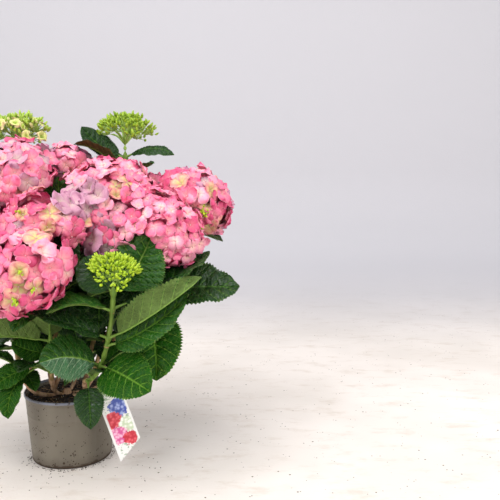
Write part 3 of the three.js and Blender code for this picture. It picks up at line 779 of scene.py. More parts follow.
def grid_faces(rows: int, columns: int, flip: bool = False) -> Array:
    """The four-cornered faces of a grid of rows by columns of cells.

    Args:
        rows: how many rows.
        columns: how many columns.
        flip: whether they face the other way.

    Returns:
        Four numbers of points for each face.
    """
    i, j = np.meshgrid(np.arange(rows), np.arange(columns), indexing="ij")
    a = (i * (columns + 1) + j).reshape(-1)
    quads = np.stack([a, a + 1, a + columns + 2, a + columns + 1], axis=1)
    return quads[:, ::-1] if flip else quads


def tube(bag: Bag, places: Array, radii: Array, sides: int, relief: Relief | None = None,
         capped: bool = True) -> None:
    """Adds a round limb along a row of places.

    Args:
        bag: where its faces go.
        places: the limb's middle line.
        radii: its radius at each place.
        sides: the number of its sides.
        relief: the share by which the radius grows at each angle and length, or None.
        capped: whether the ends are drawn in to points.
    """
    along = unit(np.gradient(places, axis=0))
    lead = unit(np.cross(along, vec(SIDEWAYS)))
    other = np.cross(lead, along)
    angle = np.linspace(0, TURN, sides + 1)
    run = np.concatenate([[0], np.cumsum(np.linalg.norm(np.diff(places, axis=0), axis=1))])
    spread = np.repeat(radii[:, None], sides + 1, axis=1).astype(float)
    if relief is not None:
        spread *= 1 + relief(*np.meshgrid(run, angle, indexing="ij"))
    if capped:
        spread[[0, -1]] *= END_PINCH
    spread[:, -1] = spread[:, 0]
    ring = lead[:, None] * np.cos(angle)[None, :, None] + other[:, None] * np.sin(angle)[None, :, None]
    points = places[:, None] + ring * spread[..., None]
    pattern = np.stack(np.meshgrid(run / max(run[-1], 1e-6), angle / TURN, indexing="ij"), axis=-1)
    bag.add(points, grid_faces(len(places) - 1, sides, flip=True), pattern)


def half_pattern(share: Array, across: Array, under: bool) -> Array:
    """Places in the pattern of a leaf or sepal. Its underside has the upper half."""
    return np.stack([share, across * 0.499 + 0.5005 * under], axis=-1)


def rotation_to(facing: Numbers) -> Array:
    """The matrix that turns +Z to a facing by the shortest way.

    Args:
        facing: where +Z goes.

    Returns:
        Three rows of three.
    """
    f = unit(vec(facing))
    v = np.cross((0, 0, 1), f)
    cross = np.array([[0, -v[2], v[1]], [v[2], 0, -v[0]], [-v[1], v[0], 0]])
    return np.eye(3) + cross + cross @ cross / (1 + f[2])


def spread_directions(count: int, lowest: float, spin: float = 0.0) -> Array:
    """Directions spread evenly over a head.

    Args:
        count: how many.
        lowest: the height of the last, where 1 is the top.
        spin: the angle by which they all are turned round the head.

    Returns:
        One unit vector for each.
    """
    i = np.arange(count)
    z = 1 - (1 - lowest) * (i + 0.5) / count
    flat, angle = np.sqrt(1 - z * z), i * GOLDEN + spin
    return np.stack([flat * np.cos(angle), flat * np.sin(angle), z], axis=1)


def colour(*rgb: float) -> tuple[float, ...]:
    """A colour of three numbers up to 255 as the linear one that the shaders take."""
    linear = [c / 12.92 if c <= 0.04045 else ((c + 0.055) / 1.055) ** 2.4 for c in (v / 255 for v in rgb)]
    return (*linear, 1.0)


class Graph:
    """Short ways to put nodes in a shader tree."""

    def __init__(self, tree: bpy.types.NodeTree) -> None:
        """Takes the tree to fill."""
        self.tree = tree

    def node(self, kind: str, **settings: object) -> bpy.types.Node:
        """Adds a node of a kind, with its settings.

        Args:
            kind: the node's type.
            settings: the node's properties.

        Returns:
            The node.
        """
        made = self.tree.nodes.new(kind)
        for name, value in settings.items():
            setattr(made, name, value)
        return made

    def put(self, value: object, socket: Socket) -> None:
        """Links a socket to another, or sets the value on it.

        Args:
            value: a socket, a value or None.
            socket: an input.
        """
        if isinstance(value, bpy.types.NodeSocket):
            self.tree.links.new(value, socket)
        elif value is not None:
            socket.default_value = value

    def fed(self, kind: str, inputs: dict[int | str, object], **settings: object) -> Sequence[Socket]:
        """Adds a node, fills its inputs by number or name, and gives its outputs.

        Args:
            kind: the node's type.
            inputs: a value for each.
            settings: the node's properties.

        Returns:
            The outputs.
        """
        made = self.node(kind, **settings)
        for key, value in inputs.items():
            self.put(value, made.inputs[key])
        return made.outputs

    def math(self, operation: str, *values: object) -> Socket:
        """One step of arithmetic."""
        return self.fed("ShaderNodeMath", dict(enumerate(values)), operation=operation)[0]

    def times(self, first: object, second: object) -> Socket:
        """The product of two values."""
        return self.math("MULTIPLY", first, second)

    def plus(self, first: object, second: object) -> Socket:
        """The sum of two values."""
        return self.math("ADD", first, second)

    def most(self, first: object, second: object) -> Socket:
        """The larger of two values."""
        return self.math("MAXIMUM", first, second)

    def ramp(self, value: object, low: float, high: float, to_low: float = 0.0,
             to_high: float = 1.0) -> Socket:
        """Maps a value smoothly from one range to another."""
        inputs = dict(enumerate((value, low, high, to_low, to_high)))
        return self.fed("ShaderNodeMapRange", inputs, interpolation_type="SMOOTHSTEP")[0]

    def mix(self, share: object, first: object, second: object) -> Socket:
        """Mixes two colours."""
        return self.fed("ShaderNodeMix", {0: share, 6: first, 7: second}, data_type="RGBA")[2]

    def noise(self, vector: object, scale: float, detail: float = 3.0, rough: float = 0.6) -> Socket:
        """A cloudy value round a half."""
        inputs = {"Vector": vector, "Scale": scale, "Detail": detail, "Roughness": rough}
        return self.fed("ShaderNodeTexNoise", inputs)["Fac"]

    def cells(self, vector: object, scale: float, feature: str = "DISTANCE_TO_EDGE") -> Socket:
        """The distance in a pattern of cells."""
        inputs = {"Vector": vector, "Scale": scale}
        return self.fed("ShaderNodeTexVoronoi", inputs, feature=feature)["Distance"]

    def scaled(self, vector: object, scale: Numbers) -> Socket:
        """The vector stretched along each axis."""
        return self.fed("ShaderNodeVectorMath", {0: vector, 1: scale}, operation="MULTIPLY")[0]

    def parts(self, vector: object) -> Sequence[Socket]:
        """The vector's three numbers."""
        return self.fed("ShaderNodeSeparateXYZ", {0: vector})

    def pattern(self) -> Socket:
        """The place in the piece's pattern."""
        return self.node("ShaderNodeUVMap", uv_map=UV_NAME).outputs[0]

    def place(self) -> Socket:
        """The place on the object in metres."""
        return self.node("ShaderNodeTexCoord").outputs["Object"]


class Groups:
    """The effects that several materials share, each built once."""

    def __init__(self) -> None:
        """Builds every group."""
        self.blade = self.build_blade()
        self.mottle = self.build_mottle()
        self.specks = self.build_specks()

    @staticmethod
    def start(name: str, inputs: dict[str, str],
              outputs: dict[str, str]) -> tuple[Graph, Sequence, Sequence]:
        """Starts a group with named sockets.

        Args:
            name: its name.
            inputs: the type of each.
            outputs: the type of each.

        Returns:
            The graph, what comes in and where the results go.
        """
        tree = bpy.data.node_groups.new(name, "ShaderNodeTree")
        for label, kind in inputs.items():
            tree.interface.new_socket(label, in_out="INPUT", socket_type=kind)
        for label, kind in outputs.items():
            tree.interface.new_socket(label, in_out="OUTPUT", socket_type=kind)
        graph = Graph(tree)
        return graph, graph.node("NodeGroupInput").outputs, graph.node("NodeGroupOutput").inputs

    def build_blade(self) -> bpy.types.NodeTree:
        """Veins of a leaf or sepal, from a pattern whose upper half is its underside.

        Returns:
            The group: masks of the veins, net, margin and underside, and the share along it.
        """
        number, vector = "NodeSocketFloat", "NodeSocketVector"
        graph, given, out = self.start(
            "Blade",
            {"Pattern": vector, "Pairs": number, "Slant": number, "Width": number, "Edge": number},
            {"Veins": number, "Net": number, "Margin": number, "Under": number, "Along": number},
        )
        along, height, _ = graph.parts(given["Pattern"])
        under = graph.math("GREATER_THAN", height, 0.5)
        across = graph.math("MULTIPLY_ADD", graph.math("MODULO", height, 0.5), 4.0, -1.0)
        side = graph.math("ABSOLUTE", across)
        curved = graph.math("MULTIPLY_ADD", along, -0.45, 1.0)
        lean = graph.times(graph.times(side, given["Slant"]), curved)
        phase = graph.times(graph.math("SUBTRACT", along, lean), given["Pairs"])
        nearest = graph.math("FRACT", graph.plus(phase, 0.5))
        off = graph.math("ABSOLUTE", graph.math("SUBTRACT", nearest, 0.5))
        thin = graph.times(given["Width"], graph.math("MULTIPLY_ADD", side, -0.6, 1.0))
        lateral = graph.ramp(graph.math("DIVIDE", off, thin), 0.0, 1.0, 1.0, 0.0)
        middle = graph.ramp(side, 0.0, 0.075, 1.0, 0.0)
        stretched = graph.scaled(given["Pattern"], (1.0, 1.1, 1.0))
        net = graph.ramp(graph.cells(stretched, 26.0), 0.0, 0.09, 1.0, 0.0)
        self.finish(graph, out, {
            "Veins": graph.most(graph.times(lateral, 0.9), middle),
            "Net": net, "Margin": graph.ramp(side, given["Edge"], 1.0), "Under": under, "Along": along,
        })
        return graph.tree

    def build_mottle(self) -> bpy.types.NodeTree:
        """Cloudy change between two colours.

        Returns:
            The group.
        """
        tint, number, vector = "NodeSocketColor", "NodeSocketFloat", "NodeSocketVector"
        graph, given, out = self.start(
            "Mottle", {"Place": vector, "Scale": number, "First": tint, "Second": tint, "Amount": number},
            {"Colour": tint, "Cloud": number},
        )
        cloud = graph.ramp(graph.noise(given["Place"], given["Scale"]), 0.32, 0.68)
        share = graph.times(cloud, given["Amount"])
        self.finish(graph, out, {"Colour": graph.mix(share, given["First"], given["Second"]), "Cloud": cloud})
        return graph.tree

    def build_specks(self) -> bpy.types.NodeTree:
        """Scattered specks, more of them where Share is higher.

        Returns:
            The group.
        """
        number, vector = "NodeSocketFloat", "NodeSocketVector"
        graph, given, out = self.start(
            "Specks", {"Place": vector, "Scale": number, "Share": number}, {"Mask": number}
        )
        near = graph.cells(given["Place"], given["Scale"], "F1")
        cloud = graph.noise(given["Place"], graph.times(given["Scale"], 0.3), 2.0)
        limit = graph.times(given["Share"], graph.ramp(cloud, 0.42, 0.68))
        mask = graph.math("SUBTRACT", limit, near)
        self.finish(graph, out, {"Mask": graph.ramp(mask, 0.0, 0.06)})
        return graph.tree

    @staticmethod
    def finish(graph: Graph, out: Sequence, results: dict[str, Socket]) -> None:
        """Links a group's results to its outputs."""
        for label, socket in results.items():
            graph.put(socket, out[label])

    @staticmethod
    def use(graph: Graph, tree: bpy.types.NodeTree, **values: object) -> Sequence:
        """Places a group in a material with its own values and gives its outputs."""
        inputs = {label.capitalize(): value for label, value in values.items()}
        return graph.fed("ShaderNodeGroup", inputs, node_tree=tree)


class Shader(Graph):
    """The tree of a material with one Principled shader."""

    bumps: ClassVar[float] = 0.6

    def __init__(self, name: str, **constants: float) -> None:
        """Makes the material and sets the shader's own values.

        Args:
            name: its name.
            constants: the shader's values.
        """
        self.material = bpy.data.materials.new(name)
        self.material.use_nodes = True
        super().__init__(self.material.node_tree)
        self.tree.nodes.clear()
        self.surface = self.node("ShaderNodeBsdfPrincipled")
        output = self.node("ShaderNodeOutputMaterial")
        self.put(self.surface.outputs[0], output.inputs[0])
        for label, value in constants.items():
            self.put(value, self.surface.inputs[label.replace("_", " ")])

    def finish(self, base: object, rough: object, height: object = None,
               depth: float = 0.0005) -> Material:
        """Feeds colour, roughness and relief, and gives the material.

        Args:
            base: the colour.
            rough: the roughness.
            height: the relief, or None.
            depth: the relief's depth in metres.

        Returns:
            The material.
        """
        self.put(base, self.surface.inputs["Base Color"])
        self.put(rough, self.surface.inputs["Roughness"])
        if height is not None:
            bump = self.fed("ShaderNodeBump", {"Strength": self.bumps, "Distance": depth, "Height": height})
            self.put(bump[0], self.surface.inputs["Normal"])
        return self.material


@dataclass(frozen=True)
class LeafFinish:
    """The colours of one age of leaf."""

    name: str
    upper: Numbers
    dark: Numbers
    vein: Numbers
    under: Numbers
    vein_share: float
    rough: float
    gloss: float = 0.38

    def material(self, groups: Groups) -> Material:
        """Glossy and veined above, pale and matt below.

        Args:
            groups: the shared effects.

        Returns:
            The material.
        """
        graph = Shader(self.name, Specular_IOR_Level=self.gloss)
        pattern = graph.pattern()
        blade = groups.use(graph, groups.blade, pattern=pattern, pairs=LEAF_PAIRS, slant=LEAF_SLANT,
                           width=0.1, edge=0.93)
        mottle = groups.use(graph, groups.mottle, place=pattern, scale=5.0, first=colour(*self.upper),
                            second=colour(*self.dark), amount=0.8)
        net = graph.times(blade["Net"], 0.2)
        veins = graph.most(graph.times(blade["Veins"], self.vein_share), net)
        veins = graph.most(veins, graph.times(blade["Margin"], 0.35))
        upper = graph.mix(veins, mottle["Colour"], colour(*self.vein))
        pale = tuple(min(255.0, c * 1.38) for c in self.under)
        net_under = graph.most(graph.times(blade["Veins"], 0.9), graph.times(blade["Net"], 0.35))
        shaded = tuple(c * 0.78 for c in self.under)
        ground = graph.mix(graph.times(mottle["Cloud"], 0.8), colour(*self.under), colour(*shaded))
        under = graph.mix(net_under, ground, colour(*pale))
        rough = graph.plus(graph.times(blade["Under"], 0.3),
                           graph.ramp(mottle["Cloud"], 0.0, 1.0, self.rough, self.rough + 0.12))
        relief = graph.math("SUBTRACT", graph.times(blade["Net"], -0.45), graph.times(blade["Veins"], 0.8))
        return graph.finish(graph.mix(blade["Under"], upper, under), rough, relief, 0.003)


@dataclass(frozen=True)
class PetalFinish:
    """The colours of one tint of floret, from the sepals' claw to their rim."""

    name: str
    claw: Numbers
    middle: Numbers
    rim: Numbers
    rim_share: float = 0.7
    rim_start: float = 0.4
    pale_share: float = 0.4

    def material(self, groups: Groups) -> Material:
        """Soft and matt, finely veined, with a deeper rim that ends in a thin pale line.

        Args:
            groups: the shared effects.

        Returns:
            The material.
        """
        graph = Shader(self.name, Specular_IOR_Level=0.25)
        pattern = graph.pattern()
        blade = groups.use(graph, groups.blade, pattern=pattern, pairs=7.0, slant=0.8, width=0.14,
                           edge=self.rim_start)
        along = graph.ramp(blade["Along"], 0.05, 0.55)
        base = graph.mix(along, colour(*self.claw), colour(*self.middle))
        edge = graph.most(graph.ramp(blade["Along"], self.rim_start + 0.22, 1.0), blade["Margin"])
        base = graph.mix(graph.times(edge, self.rim_share), base, colour(*self.rim))
        mottle = groups.use(graph, groups.mottle, place=pattern, scale=6.0, first=base,
                            second=colour(*self.rim), amount=0.3)
        deep = tuple(c * 0.9 for c in self.rim)
        veined = graph.mix(graph.times(blade["Veins"], 0.22), mottle["Colour"], colour(*deep))
        thin = graph.times(graph.math("POWER", blade["Margin"], 5.0), self.pale_share)
        pale = tuple(c + (255 - c) * 0.55 for c in self.middle)
        edged = graph.mix(thin, veined, colour(*pale))
        return graph.finish(edged, 0.6, graph.times(blade["Veins"], -1.0), 0.0002)


@dataclass(frozen=True)
class StemFinish:
    """The colours of a stem, a cane or wood, with its marks."""

    name: str
    first: Numbers
    second: Numbers
    mark: Numbers
    marks: float
    rough: float
    grain: float

    def material(self, groups: Groups) -> Material:
        """Streaked along its length and freckled.

        Args:
            groups: the shared effects.

        Returns:
            The material.
        """
        graph = Shader(self.name, Specular_IOR_Level=0.35)
        place = graph.place()
        stretched = graph.scaled(place, (1.0, 1.0, 0.25))
        mottle = groups.use(graph, groups.mottle, place=stretched, scale=160.0, first=colour(*self.first),
                            second=colour(*self.second), amount=1.0)
        specks = groups.use(graph, groups.specks, place=place, scale=420.0, share=self.marks)
        base = graph.mix(specks["Mask"], mottle["Colour"], colour(*self.mark))
        grain = graph.times(graph.noise(stretched, 900.0), self.grain)
        height = graph.math("SUBTRACT", grain, graph.times(specks["Mask"], 0.3))
        rough = graph.ramp(mottle["Cloud"], 0.0, 1.0, self.rough, self.rough + 0.15)
        return graph.finish(base, rough, height)


@dataclass(frozen=True)
class PlainFinish:
    """A nearly even colour that clouds over into a second one."""

    name: str
    first: Numbers
    second: Numbers
    rough: float
    scale: float = 300.0
    depth: float = 0.0003

    def material(self, groups: Groups) -> Material:
        """Cloudy and finely grained.

        Args:
            groups: the shared effects.

        Returns:
            The material.
        """
        graph = Shader(self.name)
        place = graph.place()
        mottle = groups.use(graph, groups.mottle, place=place, scale=self.scale, first=colour(*self.first),
                            second=colour(*self.second), amount=1.0)
        grain = graph.noise(place, self.scale * 4)
        rough = graph.ramp(grain, 0.2, 0.8, self.rough - 0.08, self.rough + 0.08)
        return graph.finish(mottle["Colour"], rough, grain, self.depth)


@dataclass
class Foliage:
    """Every leaf as a thin, toothed and quilted shell, pieces by the age of the leaf, with one piece for the
    painted sheen of a folded leaf's lower half.
    """

    growth: Growth
    groups: Groups
    rows: int = 84
    columns: int = 5
    inner_rows: int = 48
    inner_columns: int = 4
    tooth: float = 0.095
    coarser: float = 1.3
    notches: Numbers = (0.0, 1.0, 0.5)
    quilt: float = 0.034
    waved: float = 0.013
    thickness: float = 0.8
    dark_share: float = 0.6
    stalk_radii: Numbers = (2.2, 1.35)
    rib_radii: Numbers = (1.25, 0.35)
    rib_drop: float = 0.75
    finishes: tuple[LeafFinish, ...] = (
        LeafFinish("leaf_dark", (18, 60, 12), (9, 40, 7), (100, 146, 60), (80, 106, 46), 0.62, 0.26, 0.4),
        LeafFinish("leaf_mid", (26, 82, 6), (14, 58, 5), (118, 166, 56), (94, 118, 54), 0.7, 0.38, 0.32),
        LeafFinish("leaf_bright", (20, 78, 0), (13, 58, 0), (130, 178, 66), (106, 134, 52), 0.66, 0.44, 0.16),
        # Leaf green with pale veins and a painted bluish sheen.
        LeafFinish("leaf_silver", (62, 112, 68), (34, 80, 44), (190, 216, 176), (116, 140, 90), 0.85, 0.3),
        LeafFinish("leaf_bronze", (32, 54, 20), (22, 40, 14), (100, 104, 52), (100, 98, 46), 0.5, 0.4),
    )

    def relief(self, leaf: Leaf, share: Array, side: Array, phase: float) -> Array:
        """How far the blade stands out of its even surface: puffs between veins and a waved margin.

        Args:
            leaf: the leaf.
            share: how far along.
            side: from -1 to 1 across.
            phase: where the wave starts.

        Returns:
            Millimetres.
        """
        wide = np.abs(side)
        step = (share - LEAF_SLANT * wide * (1 - 0.45 * share)) * LEAF_PAIRS
        puff = np.abs(np.sin(math.pi * step)) ** 0.7 * np.clip(wide / 0.14, 0, 1) - 0.4
        keep = (1 - wide**5) * np.clip(share / 0.08, 0, 1) * np.clip((1 - share) / 0.1, 0, 1)
        wave = np.sin(TURN * (share * 2.3 + phase)) * wide**2
        wave = wave + 0.6 * np.sin(TURN * (share * 5.1 + side + phase)) * wide**3
        quilt = self.quilt * (leaf.look.puff if leaf.look else 1.0)
        return leaf.length * (quilt * puff * keep + self.waved * wave)

    def blade(self, bags: Sequence[Bag], leaf: Leaf, phase: float, rows: int, columns: int) -> None:
        """Adds one blade: the upper side and the underside of both halves, which meet at the margin.

        Args:
            bags: the bag of each half, first the one on the near side.
            leaf: the leaf.
            phase: where the margin's wave starts.
            rows: the number of rows along it.
            columns: the number of columns across each half.
        """
        fuller = leaf.look.fuller if leaf.look else 1.0
        step = np.arange(rows + 1)
        for sign, bag in zip((-1, 1), bags):
            ragged = sign > 0 and leaf.look is not None and leaf.look.lower is not None
            cut = np.array(self.notches)[(step // 2 if ragged else step) % 3]
            notch = np.where((step > rows * 0.06) & (step < rows), cut, 0.3)
            share, side = np.meshgrid(step / rows, np.linspace(0, 1, columns + 1) ** 0.85, indexing="ij")
            tooth = self.tooth * (self.coarser if ragged else 1.0)
            half = leaf.half_width * fuller * leaf.outline(share) * (1.04 - tooth * notch[:, None] * side**8)
            lift = self.relief(leaf, share, sign * side, phase)
            thick = self.thickness / 2 * (1 - side**6) * (1 - share**6)
            for under in (False, True):
                points = leaf.place(share, sign * side, lift + (-thick if under else thick), half)
                pattern = half_pattern(share, sign * side * 0.5 + 0.5, under)
                bag.add(points, grid_faces(rows, columns, flip=under == (sign < 0)), pattern)

    def petiole(self, bag: Bag, leaf: Leaf) -> None:
        """Adds the stalk and the midrib that stands out of the underside.

        Args:
            bag: where its faces go.
            leaf: the leaf.
        """
        stalk = np.linspace(-1, 0, 9)
        rib = np.linspace(0, 1, 19)[1:-1]
        share = np.concatenate([stalk, rib])
        under = np.full(len(rib), -self.rib_drop) - 0.4 * self.quilt * leaf.length
        drop = np.concatenate([-np.linspace(0, self.rib_drop, len(stalk)), under])
        radii = np.concatenate([np.linspace(*self.stalk_radii, len(stalk)),
                                np.linspace(*self.rib_radii, len(rib))])
        tube(bag, leaf.place(share, np.zeros(len(share)), drop), radii, 8)

    def build(self) -> None:
        """Makes the pieces of foliage and of leaf stalks."""
        dice = Dice(4243)
        bags = {shade: Bag() for shade in LeafShade}
        nodes: dict[LeafShade, set[str]] = {shade: set() for shade in LeafShade}
        stalks = Bag()
        own = len(self.growth.leaves)
        for index, leaf in enumerate([*self.growth.leaves, *self.growth.inner]):
            shade = leaf.look.shade if leaf.look else (DARK if dice.roll() < self.dark_share else MID)
            lower = (leaf.look.lower if leaf.look else None) or shade
            fine = (self.rows, self.columns) if index < own else (self.inner_rows, self.inner_columns)
            self.blade((bags[shade], bags[lower]), leaf, dice.roll(), *fine)
            self.petiole(stalks, leaf)
            for used in (shade, lower):
                nodes[used].add(f"leaves_{leaf.shoot.name}")
        for shade, finish in zip(LeafShade, self.finishes):
            name, material = f"foliage_{shade.value}", finish.material(self.groups)
            bags[shade].pieces(name, material, "leaf", sorted(nodes[shade]))
        green = StemFinish("stalk_green", (128, 158, 72), (104, 138, 52), (120, 96, 60), 0.12, 0.42, 0.5)
        stalks.pieces("leaf_stalks", green.material(self.groups), "leaf", node_names("leaves"))


@dataclass
class Stems:
    """The woody crown, the canes and the green stems."""

    growth: Growth
    groups: Groups
    sides: int = 14
    knob: float = 0.16
    slim_cane: float = 0.82
    slim_join: float = 0.79
    slim_tip: float = 0.82
    joint: float = 0.9
    joint_reach: float = 3.6
    low_joint: float = 134
    scar: float = 1.05
    scar_share: float = 0.81
    scar_form: Numbers = (0.7, 0.97, 1.0, 1.0, 0.97, 0.7)
    knot_heights: Numbers = (-8, 5)
    knot_radii: Numbers = (9, 4.5)
    sunk: float = 4.6
    slim_stump: Numbers = (0.5, 0.74)
    slim_fork: float = 0.7
    fork_rows: int = 14
    cane_rows: int = 26
    green_rows: int = 64

    def bark(self, run: Array, angle: Array) -> Array:
        """Ridges and knobs of the woody parts.

        Args:
            run: how far along, in millimetres.
            angle: how far round.

        Returns:
            The share by which the radius grows.
        """
        lumps = [noise.noise(Vector((math.cos(a) * 1.1, math.sin(a) * 1.1, r * 0.13)))
                 for r, a in zip(run.reshape(-1), angle.reshape(-1))]
        ridges = 0.05 * np.sin(5 * angle + 1.3 * np.sin(run * 0.12)) + 0.03 * np.sin(9 * angle + run * 0.3)
        return ridges + self.knob * np.array(lumps).reshape(run.shape)

    @staticmethod
    def faint(run: Array, angle: Array) -> Array:
        """Shallow ribs of the younger canes."""
        return 0.035 * np.sin(4 * angle + 0.02 * run) + 0.02 * np.sin(11 * angle + 0.4 * run)

    def stretch(self, shoot: Shoot, start: float, stop: float, thick: float, thin: float,
                count: int) -> tuple[Array, Array]:
        """Places and radii of a stretch of a shoot, swollen where leaves sit.

        Args:
            shoot: the shoot.
            start: the share where it starts.
            stop: the share where it stops.
            thick: its first radius.
            thin: its last radius.
            count: how many places.

        Returns:
            The places and the radii.
        """
        curve = self.growth.curves[shoot.name]
        share = np.linspace(start, stop, count)
        radii = np.linspace(thick, thin, count)
        span = float(np.linalg.norm(curve.at(0.0) - curve.at(1.0)))
        joints = [1 - below / span for below in (*self.growth.outer.below, self.low_joint)]
        joints += [look.at for look in SHOWN if look.shoot == shoot.name]
        for joint in joints:
            radii += self.joint * np.exp(-(((share - joint) * span / self.joint_reach) ** 2))
        return curve.at(share), radii

    def scars(self, bag: Bag) -> None:
        """Adds the brown rings where the shown leaves of the front shoot sit.

        Args:
            bag: where its faces go.
        """
        growth = self.growth
        for look in SHOWN:
            if look.shoot != "young_front":
                continue
            curve = growth.curves[look.shoot]
            solid = growth.join_radius + (growth.tip_radius - growth.join_radius) * look.at
            radii = (self.scar_share * solid + self.scar) * vec(self.scar_form)
            share = np.linspace(look.at - 0.011, look.at + 0.004, len(radii))
            tube(bag, curve.at(np.clip(share, 0, 1)), radii, self.sides, self.faint, capped=False)

    def crown(self, bag: Bag) -> None:
        """Adds the knot, the stumps that run out from it and their forks.

        Args:
            bag: where its faces go.
        """
        growth = self.growth
        middle = vec((*growth.crown, SOIL_TOP + SOIL_MOUND + 4))
        lift = np.linspace(*self.knot_heights, 15)[:, None] * vec(UPWARDS)
        tube(bag, middle + lift, np.linspace(*self.knot_radii, 15), 20, self.bark)
        thick, thin = self.slim_stump[0] * growth.stump_radius, self.slim_stump[1] * growth.fork_radius
        for name in STUMPS:
            way = growth.stump(name).at(np.linspace(0, 1, self.cane_rows))
            sunk = np.linspace(self.sunk, 0, self.cane_rows)[:, None] * vec(UPWARDS)
            tube(bag, way - sunk, np.linspace(thick, thin, self.cane_rows), 16, self.bark)
        for shoot in SHOOTS:
            root = growth.stump(shoot.stump).at(0.86)
            cane = growth.curves[shoot.name]
            tip = cane.at(0.02)
            bend = tip - cane.tangent(0.0) * growth.fork_up * 0.6
            ends = (growth.fork_radius * self.slim_fork, growth.cane_radius * self.slim_cane)
            way = Curve(root, bend, tip).at(np.linspace(0, 1, self.fork_rows))
            tube(bag, way, np.linspace(*ends, self.fork_rows), self.sides, self.bark)

    def build(self) -> None:
        """Makes the wood, the canes and the stems."""
        growth = self.growth
        wood, canes, green = Bag(), Bag(), Bag()
        self.crown(wood)
        foot, top = self.slim_cane * growth.cane_radius, self.slim_cane * growth.join_radius
        low, tip = self.slim_join * growth.join_radius, self.slim_tip * growth.tip_radius
        for shoot in SHOOTS:
            places, radii = self.stretch(shoot, 0, shoot.bare, foot, top, self.cane_rows)
            tube(canes, places, radii, self.sides, self.bark if shoot.bare > 0.2 else self.faint)
            places, radii = self.stretch(shoot, shoot.bare, 1, low, tip, self.green_rows)
            tube(green, places, radii, self.sides, self.faint)
        self.scars(canes)
        bark = StemFinish("wood_bark", (212, 174, 142), (156, 120, 90), (92, 66, 48), 0.3, 0.8, 1.0)
        cane = StemFinish("cane_bark", (204, 166, 122), (142, 122, 74), (108, 68, 46), 0.3, 0.66, 0.8)
        stem = StemFinish("stem_green", (124, 152, 62), (94, 126, 44), (118, 66, 44), 0.2, 0.45, 0.4)
        wood.pieces("woody_crown", bark.material(self.groups), "wood", ["root_crown"])
        canes.pieces("canes", cane.material(self.groups), "wood", node_names("cane"))
        green.pieces("green_stems", stem.material(self.groups), "leaf", node_names("leaves"))


@dataclass(frozen=True)
class Floret:
    """One floret: its seat, where it faces, the length of its sepals, its tint and how steeply they rise."""

    seat: Array
    normal: Array
    sepal: float
    shade: PetalShade
    steep: tuple[float, float] = (0.26, 0.84)


